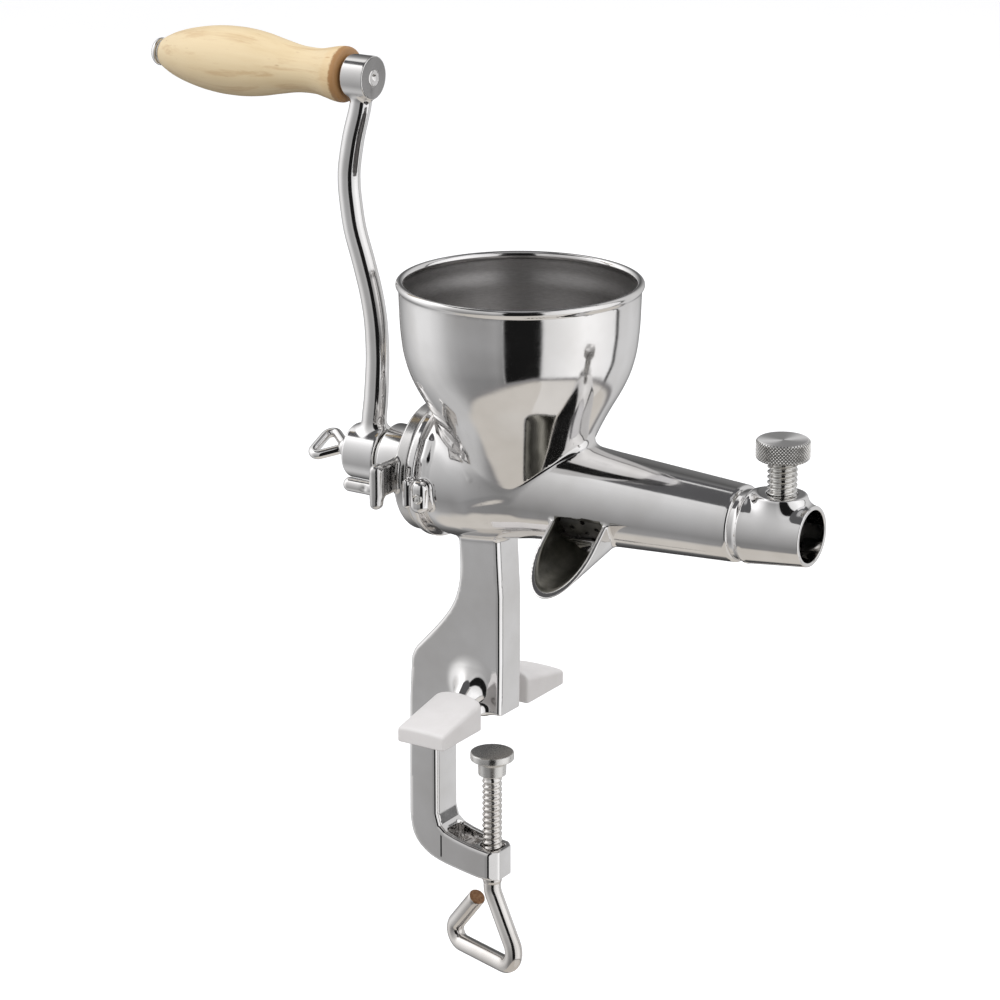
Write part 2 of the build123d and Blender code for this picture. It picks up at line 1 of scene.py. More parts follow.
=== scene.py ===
import bpy
import math
import numpy as np
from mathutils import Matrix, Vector


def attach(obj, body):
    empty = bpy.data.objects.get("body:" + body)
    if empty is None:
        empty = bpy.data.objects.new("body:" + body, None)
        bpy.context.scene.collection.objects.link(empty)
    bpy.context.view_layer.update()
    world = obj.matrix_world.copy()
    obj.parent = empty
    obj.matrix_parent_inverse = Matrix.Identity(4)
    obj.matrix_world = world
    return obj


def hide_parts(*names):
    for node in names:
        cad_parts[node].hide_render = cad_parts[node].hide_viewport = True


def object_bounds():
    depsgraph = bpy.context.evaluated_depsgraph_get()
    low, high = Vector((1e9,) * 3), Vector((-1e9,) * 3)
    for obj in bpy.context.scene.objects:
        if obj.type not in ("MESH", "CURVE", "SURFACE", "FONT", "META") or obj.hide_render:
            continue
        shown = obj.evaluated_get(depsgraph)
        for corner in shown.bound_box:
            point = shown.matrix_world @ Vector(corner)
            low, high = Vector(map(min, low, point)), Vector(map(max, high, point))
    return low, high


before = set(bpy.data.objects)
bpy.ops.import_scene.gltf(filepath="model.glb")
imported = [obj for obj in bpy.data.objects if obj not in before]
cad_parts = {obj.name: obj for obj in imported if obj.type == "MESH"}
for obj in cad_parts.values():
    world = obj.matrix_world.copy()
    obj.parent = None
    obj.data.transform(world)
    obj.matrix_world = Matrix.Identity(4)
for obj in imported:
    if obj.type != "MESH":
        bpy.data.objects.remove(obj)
cad_lo, cad_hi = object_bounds()
MM = 0.001
AX = 124.0      # height of the auger axis, mm
GZ = 312.0      # height of the grip axis
HX = 43.0       # hopper axis
SX = 90.0       # spout
PX = 186.0      # pressure screw
CX = 27.0       # clamp screw


# ------------------------------------------------------------------ field tools
def smin(a, b, k):
    h = np.clip(0.5 + 0.5 * (b - a) / k, 0, 1)
    return b + (a - b) * h - k * h * (1 - h)


def smax(a, b, k):
    return -smin(-a, -b, k)


def hyp(*a):
    return np.sqrt(sum(x * x for x in a))


class Profile:
    """Radius along an axis, smoothed, with its slope."""

    def __init__(self, pts, sigma):
        xs = np.array([p[0] for p in pts], float)
        ys = np.array([p[1] for p in pts], float)
        lo, hi = xs[0], xs[-1]
        self.x = np.arange(lo - 12, hi + 12, 0.1)
        y = np.interp(self.x, xs, ys)
        left, right = self.x < lo, self.x > hi
        y[left] = ys[0] + (self.x[left] - lo) * (ys[1] - ys[0]) / (xs[1] - xs[0])
        y[right] = ys[-1] + (self.x[right] - hi) * (ys[-1] - ys[-2]) / (xs[-1] - xs[-2])
        n = int(sigma / 0.1 * 4) | 1
        t = np.arange(-(n // 2), n // 2 + 1) * 0.1
        kern = np.exp(-t * t / (2 * sigma * sigma))
        kern /= kern.sum()
        pad = n // 2
        yp = np.concatenate([y[0] + (np.arange(-pad, 0)) * (y[1] - y[0]), y,
                             y[-1] + (np.arange(1, pad + 1)) * (y[-1] - y[-2])])
        self.y = np.convolve(yp, kern, "valid")
        self.s = np.gradient(self.y, self.x)

    def at(self, x):
        return np.interp(x, self.x, self.y)

    def sd(self, r, x):
        s = np.interp(x, self.x, self.s)
        return (r - np.interp(x, self.x, self.y)) / np.sqrt(1 + s * s)


def sd_poly(px, pz, pts):
    """Signed distance to a closed polygon in a plane."""
    p = np.array(pts, float)
    q = np.roll(p, -1, 0)
    d = np.full(px.shape, 1e9)
    inside = np.zeros(px.shape, bool)
    for (ax, az), (bx, bz) in zip(p, q):
        ex, ez = bx - ax, bz - az
        wx, wz = px - ax, pz - az
        t = np.clip((wx * ex + wz * ez) / (ex * ex + ez * ez + 1e-12), 0, 1)
        dx, dz = wx - ex * t, wz - ez * t
        d = np.minimum(d, dx * dx + dz * dz)
        if abs(ez) > 1e-9:
            cross = ((az > pz) != (bz > pz)) & (px < ex * (pz - az) / ez + ax)
            inside ^= cross
    d = np.sqrt(d)
    return np.where(inside, -d, d)


def sd_slab(d2, y, half, r):
    """A flat shape of distance d2 made 2*half thick, its edges rounded by r."""
    a, b = d2 + r, np.abs(y) - half + r
    return hyp(np.maximum(a, 0), np.maximum(b, 0)) + np.minimum(np.maximum(a, b), 0) - r


def sd_box(x, y, z, c, h, r):
    a, b, e = np.abs(x - c[0]) - h[0] + r, np.abs(y - c[1]) - h[1] + r, np.abs(z - c[2]) - h[2] + r
    return hyp(np.maximum(a, 0), np.maximum(b, 0), np.maximum(e, 0)) + np.minimum(np.maximum(np.maximum(a, b), e), 0) - r


def sd_disc(r, x, x0, x1, rad, edge):
    a, b = r - rad + edge, np.abs(x - (x0 + x1) / 2) - (x1 - x0) / 2 + edge
    return hyp(np.maximum(a, 0), np.maximum(b, 0)) + np.minimum(np.maximum(a, b), 0) - edge


def sd_path(x, y, z, pts, radii, squash=1.0):
    """A round bar along a line of points, with its radius at each point."""
    best = np.full(x.shape, 1e9)
    for i in range(len(pts) - 1):
        a, b = np.array(pts[i], float), np.array(pts[i + 1], float)
        e = b - a
        t = np.clip(((x - a[0]) * e[0] + (y - a[1]) * e[1] + (z - a[2]) * e[2]) / (e @ e), 0, 1)
        d = hyp(x - a[0] - e[0] * t, (y - a[1] - e[1] * t) * squash, z - a[2] - e[2] * t)
        best = np.minimum(best, d - (radii[i] + (radii[i + 1] - radii[i]) * t))
    return best


def smooth_line(pts, n):
    """Points of a Catmull-Rom curve through pts."""
    p = [np.array(q, float) for q in pts]
    p = [2 * p[0] - p[1]] + p + [2 * p[-1] - p[-2]]
    out = []
    for i in range(1, len(p) - 2):
        for j in range(n):
            t = j / n
            out.append(0.5 * (2 * p[i] + (p[i + 1] - p[i - 1]) * t
                              + (2 * p[i - 1] - 5 * p[i] + 4 * p[i + 1] - p[i + 2]) * t * t
                              + (3 * p[i] - p[i - 1] - 3 * p[i + 1] + p[i + 2]) * t ** 3))
    out.append(p[-2])
    return np.array(out)


def field_mesh(f, lo, hi, h, rounds=2, sharp=0.30):
    """Surface of f = 0 in the box lo..hi: surface nets, then points moved onto the
    surface, then triangles split where the surface bends."""
    n = [int(math.ceil((hi[i] - lo[i]) / h)) + 1 for i in range(3)]
    ax = [lo[i] + h * np.arange(n[i]) for i in range(3)]
    V = np.empty(n, np.float32)
    step = max(1, int(1.2e6 // (n[1] * n[2])))
    for s in range(0, n[0], step):
        X, Y, Z = np.meshgrid(ax[0][s:s + step], ax[1], ax[2], indexing="ij")
        V[s:s + step] = f(X, Y, Z)
    inside = V < 0
    c = np.zeros([k - 1 for k in n], np.uint8)
    offs = [(i, j, k) for i in (0, 1) for j in (0, 1) for k in (0, 1)]

    def sub(A, o):
        return A[o[0]:o[0] + n[0] - 1, o[1]:o[1] + n[1] - 1, o[2]:o[2] + n[2] - 1]

    for o in offs:
        c += sub(inside, o)
    act = np.argwhere((c > 0) & (c < 8))
    idx = -np.ones(c.shape, np.int64)
    idx[tuple(act.T)] = np.arange(len(act))
    pos, cnt = np.zeros((len(act), 3)), np.zeros(len(act))
    for o in offs:
        for axis in range(3):
            if o[axis]:
                continue
            o2 = list(o)
            o2[axis] = 1
            va = V[act[:, 0] + o[0], act[:, 1] + o[1], act[:, 2] + o[2]].astype(float)
            vb = V[act[:, 0] + o2[0], act[:, 1] + o2[1], act[:, 2] + o2[2]].astype(float)
            m = (va < 0) != (vb < 0)
            t = va[m] / (va[m] - vb[m])
            p = np.array(o, float) + np.zeros((m.sum(), 3))
            p[:, axis] += t
            pos[m] += p
            cnt[m] += 1
    P = np.array(lo, float) + h * (act + pos / cnt[:, None])
    quads = []
    for axis in range(3):
        u, v = (axis + 1) % 3, (axis + 2) % 3
        a = inside
        sl0, sl1 = [slice(None)] * 3, [slice(None)] * 3
        sl0[axis], sl1[axis] = slice(0, -1), slice(1, None)
        A, B = a[tuple(sl0)], a[tuple(sl1)]
        e = np.argwhere(A != B)
        e = e[(e[:, u] > 0) & (e[:, v] > 0) & (e[:, u] < n[u] - 1) & (e[:, v] < n[v] - 1)]
        flip = A[tuple(e.T)]
        du, dv = np.zeros(3, int), np.zeros(3, int)
        du[u], dv[v] = 1, 1
        q = [idx[tuple((e - s * du - t * dv).T)] for s, t in ((1, 1), (0, 1), (0, 0), (1, 0))]
        q = np.stack(q, 1)
        q[~flip] = q[~flip][:, ::-1]
        quads.append(q)
    Q = np.concatenate(quads)

    def grad(p, eps=0.04):
        g = np.empty_like(p)
        for k in range(3):
            d = np.zeros(3)
            d[k] = eps
            a, b = p + d, p - d
            g[:, k] = (f(a[:, 0], a[:, 1], a[:, 2]) - f(b[:, 0], b[:, 1], b[:, 2])) / (2 * eps)
        return g

    def settle(p, times, cap):
        for _ in range(times):
            g = grad(p)
            v = f(p[:, 0], p[:, 1], p[:, 2])
            mv = g * (v / np.maximum((g * g).sum(1), 0.05))[:, None]
            L = np.sqrt((mv * mv).sum(1))
            mv *= np.minimum(1, cap / np.maximum(L, 1e-9))[:, None]
            p = p - mv
        return p

    P = settle(P, 3, h * 0.5)
    # split each quad along its shorter diagonal
    d1 = ((P[Q[:, 0]] - P[Q[:, 2]]) ** 2).sum(1)
    d2 = ((P[Q[:, 1]] - P[Q[:, 3]]) ** 2).sum(1)
    s = d1 <= d2
    T = np.concatenate([Q[s][:, [0, 1, 2]], Q[s][:, [0, 2, 3]], Q[~s][:, [0, 1, 3]], Q[~s][:, [1, 2, 3]]])
    Nn = grad(P)
    Nn /= np.linalg.norm(Nn, axis=1)[:, None] + 1e-12
    for _ in range(rounds):
        E = np.concatenate([T[:, [0, 1]], T[:, [1, 2]], T[:, [2, 0]]])
        Es = np.sort(E, 1)
        key, inv = np.unique(Es[:, 0] * (len(P) + 1) + Es[:, 1], return_inverse=True)
        ea, eb = key // (len(P) + 1), key % (len(P) + 1)
        bend = 1 - (Nn[ea] * Nn[eb]).sum(1)
        mark = (bend > 1 - math.cos(sharp)) & (np.linalg.norm(P[ea] - P[eb], axis=1) > 0.25)
        mid = -np.ones(len(key), np.int64)
        mid[mark] = len(P) + np.arange(mark.sum())
        M = settle((P[ea[mark]] + P[eb[mark]]) / 2, 3, h * 0.3)
        P = np.concatenate([P, M])
        Mn = grad(M)
        Mn /= np.linalg.norm(Mn, axis=1)[:, None] + 1e-12
        Nn = np.concatenate([Nn, Mn])
        nt = len(T)
        e = mid[inv]
        m0, m1, m2 = e[:nt], e[nt:2 * nt], e[2 * nt:]
        code = (m0 >= 0) * 1 + (m1 >= 0) * 2 + (m2 >= 0) * 4
        out = [T[code == 0]]
        for cse, rot in ((1, 0), (2, 1), (4, 2)):
            w = code == cse
            a, b, cc = (T[w][:, (k + rot) % 3] for k in range(3))
            x = (m0, m1, m2)[rot][w]
            out += [np.stack([a, x, cc], 1), np.stack([x, b, cc], 1)]
        for cse, rot in ((3, 0), (6, 1), (5, 2)):
            w = code == cse
            a, b, cc = (T[w][:, (k + rot) % 3] for k in range(3))
            x, y = (m0, m1, m2)[rot][w], (m0, m1, m2)[(rot + 1) % 3][w]
            out += [np.stack([a, x, cc], 1), np.stack([x, y, cc], 1), np.stack([x, b, y], 1)]
        w = code == 7
        a, b, cc = T[w].T
        x, y, zz = m0[w], m1[w], m2[w]
        out += [np.stack(q, 1) for q in ((a, x, zz), (x, b, y), (zz, y, cc), (x, y, zz))]
        T = np.concatenate(out)
    return P, T, Nn


def mesh_object(name, P, T, normals=None, smooth=True):
    me = bpy.data.meshes.new(name)
    P = np.asarray(P, np.float32) * MM
    T = np.asarray(T)
    me.vertices.add(len(P))
    me.vertices.foreach_set("co", P.ravel())
    k = T.shape[1]
    me.loops.add(T.size)
    me.loops.foreach_set("vertex_index", T.ravel().astype(np.int32))
    me.polygons.add(len(T))
    me.polygons.foreach_set("loop_start", (np.arange(len(T)) * k).astype(np.int32))
    me.update(calc_edges=True)
    me.validate(clean_customdata=False)
    if smooth:
        me.polygons.foreach_set("use_smooth", np.ones(len(me.polygons), bool))
    if normals is not None:
        me.normals_split_custom_set_from_vertices([tuple(v) for v in normals])
    ob = bpy.data.objects.new(name, me)
    bpy.context.scene.collection.objects.link(ob)
    return ob


def set_sharp(ob, deg):
    ob.data.set_sharp_from_angle(angle=math.radians(deg))


def round_profile(pts, radii, seg=5, closed=False):
    """A polyline with its corners turned into arcs."""
    n = len(pts)
    out = []
    for i in range(n):
        r = radii[i] if isinstance(radii, (list, tuple)) else radii
        if (not closed and i in (0, n - 1)) or r <= 0:
            out.append(tuple(pts[i]))
            continue
        p0, p1, p2 = (np.array(pts[(i + k) % n], float) for k in (-1, 0, 1))
        a, b = p0 - p1, p2 - p1
        la, lb = np.linalg.norm(a), np.linalg.norm(b)
        if la < 1e-9 or lb < 1e-9:
            out.append(tuple(p1))
            continue
        a, b = a / la, b / lb
        ang = math.acos(max(-1, min(1, float(a @ b))))
        if ang > math.pi - 0.03:
            out.append(tuple(p1))
            continue
        t = min(r / math.tan(ang / 2), 0.48 * la, 0.48 * lb)
        r2 = t * math.tan(ang / 2)
        c = p1 + (a + b) / np.linalg.norm(a + b) * (r2 / math.sin(ang / 2))
        s, e = p1 + a * t - c, p1 + b * t - c
        w = math.acos(max(-1, min(1, float(s @ e) / (r2 * r2 + 1e-12))))
        m = max(2, int(seg * w / 1.5) + 2)
        for j in range(m + 1):
            q = j / m
            v = (math.sin((1 - q) * w) * s + math.sin(q * w) * e) / max(math.sin(w), 1e-9)
            out.append(tuple(c + v))
    return out


def revolve(name, profile, seg=96, axis="X", origin=(0, 0, 0), closed=True, shape=None, sharp=35):
    """Turned body: profile of (along, radius) in mm about a line through origin."""
    pr = np.array(profile, float)
    n = len(pr)
    th = np.linspace(0, 2 * math.pi, seg, endpoint=False)
    A = np.repeat(pr[:, 0], seg)
    R = np.repeat(pr[:, 1], seg)
    TH = np.tile(th, n)
    if shape is not None:
        A, R = shape(A, R, TH)
    if axis == "X":
        P = np.stack([A, -R * np.sin(TH), R * np.cos(TH)], 1)
    else:
        P = np.stack([R * np.cos(TH), R * np.sin(TH), A], 1)
    P += np.array(origin, float)
    rows = n if closed else n - 1
    i = np.arange(rows)[:, None]
    j = np.arange(seg)[None, :]
    a, b = i * seg + j, ((i + 1) % n) * seg + j
    c, d = ((i + 1) % n) * seg + (j + 1) % seg, i * seg + (j + 1) % seg
    Q = np.stack([a, b, c, d], 2).reshape(-1, 4)
    ob = mesh_object(name, P, Q)
    fix_normals(ob)
    set_sharp(ob, sharp)
    return ob


def fix_normals(ob):
    """Merges doubled points and turns every face outwards."""
    import bmesh
    bm = bmesh.new()
    bm.from_mesh(ob.data)
    bmesh.ops.remove_doubles(bm, verts=bm.verts, dist=2e-6)
    bmesh.ops.dissolve_degenerate(bm, edges=bm.edges, dist=1e-7)
    bmesh.ops.recalc_face_normals(bm, faces=bm.faces)
    bm.to_mesh(ob.data)
    bm.free()
    ob.data.polygons.foreach_set("use_smooth", np.ones(len(ob.data.polygons), bool))


def tube(name, pts, radius, seg=28, closed=False, squash=None, cap=0.6):
    """A bent rod along pts (mm), with slightly rounded cut ends."""
    p = np.array(pts, float)
    n = len(p)
    tan = np.zeros_like(p)
    for i in range(n):
        a = p[(i - 1) % n] if closed or i > 0 else p[i]
        b = p[(i + 1) % n] if closed or i < n - 1 else p[i]
        tan[i] = (b - a) / np.linalg.norm(b - a)
    up = np.array([0.13, 1.0, 0.07])
    u = np.cross(tan[0], up)
    u /= np.linalg.norm(u)
    frames = []
    for i in range(n):
        u = u - tan[i] * (u @ tan[i])
        u /= np.linalg.norm(u)
        frames.append((u.copy(), np.cross(tan[i], u)))
    if closed:  # spread the twist left over evenly along the ring
        u0, w0 = frames[0]
        ue = frames[-1][0] - tan[0] * (frames[-1][0] @ tan[0])
        tw = math.atan2(ue @ w0, ue @ u0)
    rings = []
    th = np.linspace(0, 2 * math.pi, seg, endpoint=False)
    rad = radius if hasattr(radius, "__len__") else [radius] * n
    for i in range(n):
        u, w = frames[i]
        t = th - (tw * i / n if closed else 0)
        rings.append(p[i] + rad[i] * (np.outer(np.cos(t), u) + np.outer(np.sin(t), w)))
    if not closed:
        for end, s in ((0, -1), (-1, 1)):
            c, (u, w), tn = p[end], frames[end], tan[end]
            extra = [c + s * tn * cap * 0.6 + (rad[end] - cap * 0.35) * (np.outer(np.cos(th), u) + np.outer(np.sin(th), w)),
                     c + s * tn * cap + (rad[end] - cap) * (np.outer(np.cos(th), u) + np.outer(np.sin(th), w)),
                     c + s * tn * cap + (rad[end] * 0.5) * (np.outer(np.cos(th), u) + np.outer(np.sin(th), w)),
                     c + s * tn * (cap - 0.1) + 0.05 * (np.outer(np.cos(th), u) + np.outer(np.sin(th), w))]
            rings = (extra[::-1] + rings) if s < 0 else (rings + extra)
    P = np.concatenate(rings)
    m = len(rings)
    i = np.arange(m if closed else m - 1)[:, None]
    j = np.arange(seg)[None, :]
    Q = np.stack([i * seg + j, ((i + 1) % m) * seg + j, ((i + 1) % m) * seg + (j + 1) % seg, i * seg + (j + 1) % seg], 2).reshape(-1, 4)
    ob = mesh_object(name, P, Q)
    if not closed:
        ends = [list(range(seg)), list(range((m - 1) * seg, m * seg))]
        import bmesh
        bm = bmesh.new()
        bm.from_mesh(ob.data)
        bm.verts.ensure_lookup_table()
        for e in ends:
            bm.faces.new([bm.verts[k] for k in e])
        bm.to_mesh(ob.data)
        bm.free()
    fix_normals(ob)
    set_sharp(ob, 50)
    return ob


def thread(name, z0, z1, r, pitch, depth, axis="Z", origin=(0, 0, 0), seg=72, runout=1.5, inner=None):
    """A threaded rod: its ridge climbs one pitch a turn (right hand), running out at both ends."""
    per = 12
    nz = int((z1 - z0) / pitch * per) + 1
    zz = np.linspace(z0, z1, nz)
    th = np.linspace(0, 2 * math.pi, seg, endpoint=False)
    ZZ, TT = np.meshgrid(zz, th, indexing="ij")
    ph = (ZZ / pitch - TT / (2 * math.pi)) % 1.0
    v = np.abs(ph - 0.5) * 2            # 0 at the crest, 1 at the root
    v = np.clip((v - 0.14) / 0.72, 0, 1)
    v = v * v * (3 - 2 * v) * 0.55 + v * 0.45
    fade = np.clip(np.minimum((ZZ - z0), (z1 - ZZ)) / runout, 0, 1)
    R = r - depth * v * fade - (1 - np.clip((np.minimum(ZZ - z0, z1 - ZZ)) / 0.8, 0, 1)) * 0.5
    P = np.stack([R * np.cos(TT), R * np.sin(TT), ZZ], 2).reshape(-1, 3)
    i = np.arange(nz - 1)[:, None]
    j = np.arange(seg)[None, :]
    Q = np.stack([i * seg + j, i * seg + (j + 1) % seg, (i + 1) * seg + (j + 1) % seg, (i + 1) * seg + j], 2).reshape(-1, 4)
    ca, cb = len(P), len(P) + 1
    P = np.concatenate([P, [[0, 0, z0], [0, 0, z1]]])
    caps = [[ca, (k + 1) % seg, k] for k in range(seg)] + [[cb, (nz - 1) * seg + k, (nz - 1) * seg + (k + 1) % seg] for k in range(seg)]
    if axis == "X":
        P = P[:, [2, 0, 1]]
    P = P + np.array(origin, float)
    me = bpy.data.meshes.new(name)
    me.from_pydata([tuple(v * MM) for v in P], [], [tuple(q) for q in Q.tolist()] + [tuple(q) for q in caps])
    ob = bpy.data.objects.new(name, me)
    bpy.context.scene.collection.objects.link(ob)
    fix_normals(ob)
    set_sharp(ob, 50)
    return ob


def join(name, obs):
    """One piece from several closed meshes of the same part."""
    for o in bpy.context.selected_objects:
        o.select_set(False)
    for o in obs:
        o.select_set(True)
    bpy.context.view_layer.objects.active = obs[0]
    bpy.ops.object.join()
    obs[0].name = name
    obs[0].data.name = name
    return obs[0]


# ------------------------------------------------------------------ the welded body
hop_out = Profile([(-10, 26.6), (0, 28.2), (10, 31.3), (20, 35.0), (31, 40.0), (40, 44.8), (47.5, 49.3), (56, 53.3),
                   (66, 56.0), (78, 57.3), (97, 58.0)], 3.2)
barrel = Profile([(3.5, 30.3), (5.0, 30.5), (7.0, 31.5), (10.0, 31.9), (14.0, 31.8), (22.0, 31.2), (32.0, 30.2), (43.0, 28.4),
                  (55.0, 26.2), (75.0, 24.0), (94.0, 22.6), (143.0, 19.7), (167.0, 18.3)], 1.6)
bore = Profile([(-1, 27.6), (14, 27.6), (30, 26.6), (55, 22.2), (75, 20.3), (94, 18.9), (143, 16.0), (157, 15.2), (168, 15.2)], 1.5)
RIM_Z = 98.1

leg_pts = [tuple(q) for q in smooth_line([(13.1, 98), (13.6, 88), (13.9, 76), (12.9, 67), (9.6, 57.5), (3.2, 48.0), (-5.0, 38.6), (-12.0, 31.0)], 5)]
leg_pts += [(-13.6, 28.6), (-14.9, 25.0), (-15.4, 18.0), (-16.2, 3.5), (-16.6, -30.0), (-16.8, -58.0)]
leg_pts += [tuple(q) for q in smooth_line([(-16.4, -63.0), (-14.8, -69.6), (-11.0, -75.2), (-5.0, -79.6), (2.5, -82.3), (13.5, -84.4), (24.0, -86.0)], 4)]
leg_pts += [(34.6, -86.2), (34.6, -71.0), (26.0, -70.1), (19.5, -69.2), (10.5, -67.2), (5.0, -65.4), (1.6, -62.6), (0.0, -57.0), (0.0, 3.5),
            (37.6, 3.5), (38.0, 30.0), (38.0, 65.0), (36.9, 85.0), (36.4, 98.0)]


def body_field(x, y, z):
    zz = z - AX
    r = hyp(y, zz)
    rho = hyp(x - HX, y)
    # barrel with its shoulder, turned in at the seam
    b = smax(barrel.sd(r, x), np.maximum(3.0 - x, x - 166.9), 2.2)
    solid_b = b
    # funnel and bowl, ending in a rounded tongue on the barrel's flank
    hb = hop_out.sd(rho, zz)
    h = smax(hb, -zz - 1.5, 3.0)
    h = np.maximum(h, zz - RIM_Z + 0.4)
    side = np.clip((x - 20.0) / 42.0, 0, 1)
    topk = np.clip((np.abs(y) - 6.0) / 12.0, 0, 1)
    right = 7.5 + (1.3 - 7.5) * topk * topk * (3 - 2 * topk)
    k = 9.0 + (right - 9.0) * side * side * (3 - 2 * side)
    d = smin(b, h, k)
    # raised seam from the flange top down to the funnel's foot
    for s in (-1, 1):
        d = smin(d, sd_path(x, s * y, zz, [(3.4, 6.5, 31.4), (9.0, 13.5, 29.4), (17.0, 20.0, 24.6), (25.5, 25.3, 17.2), (34.0, 28.9, 7.6)],
                            [2.6, 2.8, 2.5, 1.8, 0.6]), 1.6)
        d = smin(d, sd_path(x, s * y, zz, [(9.0, 10.0, 35.5), (16.0, 17.0, 31.0), (23.5, 23.2, 22.5), (29.5, 27.0, 14.0), (34.0, 28.9, 7.4)],
                            [1.4, 1.6, 1.5, 1.2, 0.5]), 2.6)
    # broad ridge behind the flange, from the funnel's foot down to the boss
    yb = np.abs(y)
    d = smin(d, sd_path(x, yb, zz, [(5.2, 6.0, 28.6), (6.4, 15.0, 25.0), (7.2, 22.5, 18.6), (7.4, 26.9, 11.4), (7.4, 28.7, 4.0)],
                        [3.2, 3.9, 4.2, 4.1, 3.8]), 1.2)
    # flange disc
    fl = sd_disc(r, x, -1.0, 3.4, 34.0, 1.0)
    d = smin(d, fl, 0.8)
    # stop bosses on both sides, with the pin's peened seat
    ay = np.abs(y)
    d = smin(d, sd_box(x, ay, zz, (1.1, 33.0, -4.2), (2.1, 4.7, 7.4), 2.0), 1.0)
    bs = sd_box(x, ay, zz, (8.0, 31.6, -4.9), (5.0, 7.0, 8.3), 4.3)
    d = smin(d, bs, 1.4)
    # neck, spine and lower arm, one flat forging with rounded edges
    m = (z < 100) & (np.abs(y) < 16)
    leg = np.full(x.shape, 40.0)
    if m.any():
        leg[m] = sd_slab(sd_poly(x[m], z[m], leg_pts), y[m], 10.0, 2.3)
    d = smin(d, leg, 3.2)
    # jaw arms reaching out under the feet
    arm = sd_path(x, ay, z, [(20.5, 6.0, 18.6), (20.8, 19.0, 10.6), (21.0, 34.0, 7.2), (21.0, 49.0, 5.6)], [8.2, 5.2, 3.9, 2.4])
    arm = smin(arm, sd_box(x, ay, z, (21.0, 30.0, 5.8), (7.6, 21.0, 2.3), 1.4), 2.0)
    arm = smax(arm, 3.6 - z, 1.0)
    d = smin(d, arm, 7.0)
    # spout, a trough running down and out from under the barrel
    zf = -24.0 + 0.205 * y
    zc = zf + 15.0
    ring = np.where(zz > zc, np.abs(x - SX), hyp(x - SX, zz - zc))
    sp = np.abs(ring - 13.75) - 1.35
    cutp = (zz + 5.6 - 0.855 * (y + 21.0)) * 0.76
    sp = smax(sp, cutp, 1.2)
    sp = smax(sp, -58.2 - y, 1.2)
    sp = np.maximum(sp, y + 2.0)
    sp = np.maximum(sp, -(r - 18.0))
    d = smin(d, sp, 1.6)
    # ---- hollows
    thin = np.clip((zz - 82.0) / 10.0, 0, 1)
    inner = hop_out.sd(rho, zz) + 3.1 - 0.9 * thin * thin * (3 - 2 * thin)
    inner = smax(inner, -(solid_b), 2.0)
    inner = np.maximum(inner, 6.0 - zz)
    d = smax(d, -inner, 0.9)
    # rolled rim
    d = smin(d, hyp(rho - 57.35, zz - RIM_Z) - 1.88, 1.2)
    d = np.maximum(d, -bore.sd(r, x))
    th = (hyp((x - 42.0) / 25.0, y / 20.0) - 1) * 20.0
    th = np.maximum(th, 8.0 - zz)
    th = np.maximum(th, zz - 46.0)
    d = smax(d, -th, 1.5)
    port = sd_box(x, y, zz, (SX, -20.0, -12.5), (12.6, 20.0, 6.3), 3.0)
    port = np.maximum(port, r - 24.5)
    d = smax(d, -port, 0.8)
    # pocket in the lower arm's top, and the clamp screw's hole
    pk = sd_box(x, y, z, (12.0, 0, -66.0), (8.6, 6.8, 13.5), 3.0)
    d = smax(d, -pk, 1.2)
    cb = sd_box(x, y, z, (27.2, 0, -66.0), (5.0, 5.4, 9.0), 2.0)
    d = smax(d, -cb, 0.8)
    d = smax(d, -(hyp(x - CX, y) - 5.12), 0.6)
    # chamfered nose of the lower arm
    nose = ((x - 34.6) + (np.abs(y) - 10.0) + 4.4) * 0.7071
    d = np.where(z < -40, smax(d, nose, 0.8), d)
    return d


H = 1.4
FINE = [(-3.6, -43.4, AX - 17.0, 40.0, -3.0, AX + 41.0), (-3.6, 3.0, AX - 17.0, 40.0, 43.4, AX + 41.0),
        (68.0, -60.2, AX - 45.0, 112.0, -7.0, AX - 7.0), (2.0, -11.6, -88.0, 36.6, 11.6, -58.0)]
P, T, Nn = field_mesh(body_field, (-18.5, -60.5, -88.0), (169.5, 60.5, 225.5), H, rounds=2)
for x0, y0, z0, x1, y1, z1 in FINE:
    c = P[T].mean(1)
    g = 1.0
    cut = ((c[:, 0] > x0 + g) & (c[:, 0] < x1 - g) & (c[:, 1] > y0 + g) & (c[:, 1] < y1 - g) & (c[:, 2] > z0 + g) & (c[:, 2] < z1 - g))
    T = T[~cut]
    P2, T2, N2 = field_mesh(body_field, (x0, y0, z0), (x1, y1, z1), 0.75, rounds=1)
    T = np.concatenate([T, T2 + len(P)])
    P, Nn = np.concatenate([P, P2]), np.concatenate([Nn, N2])
used = np.unique(T)
back = -np.ones(len(P), np.int64)
back[used] = np.arange(len(used))
P, Nn, T = P[used], Nn[used], back[T]
body = mesh_object("juicer_body", P, T, Nn)
body_faces = len(T)


# ------------------------------------------------------------------ outlet nozzle
noz = Profile([(166, 16.9), (169.2, 16.9), (170.6, 17.3), (171.6, 17.9), (173.5, 17.5), (202.4, 14.3), (204, 14.1)], 0.35)
noz_in = Profile([(150, 13.3), (167, 13.3), (204, 12.3)], 1.0)


def nozzle_field(x, y, z):
    zz = z - AX
    r = hyp(y, zz)
    d = smax(noz.sd(r, x), np.maximum(166.0 - x, x - 202.4), 0.7)
    sp = np.maximum(r - 15.05, np.maximum(158.0 - x, x - 167.0))
    d = np.minimum(d, sp)
    boss = smax(hyp(x - PX, y) - 12.0, zz - 18.2, 1.6)
    boss = np.maximum(boss, 2.0 - zz)
    d = smin(d, boss, 4.5)
    d = smax(d, x - 202.4, 0.6)
    d = smax(d, -noz_in.sd(r, x), 0.6)
    d = smax(d, -(np.maximum(hyp(x - PX, y) - 7.12, 3.0 - zz)), 0.7)
    return d


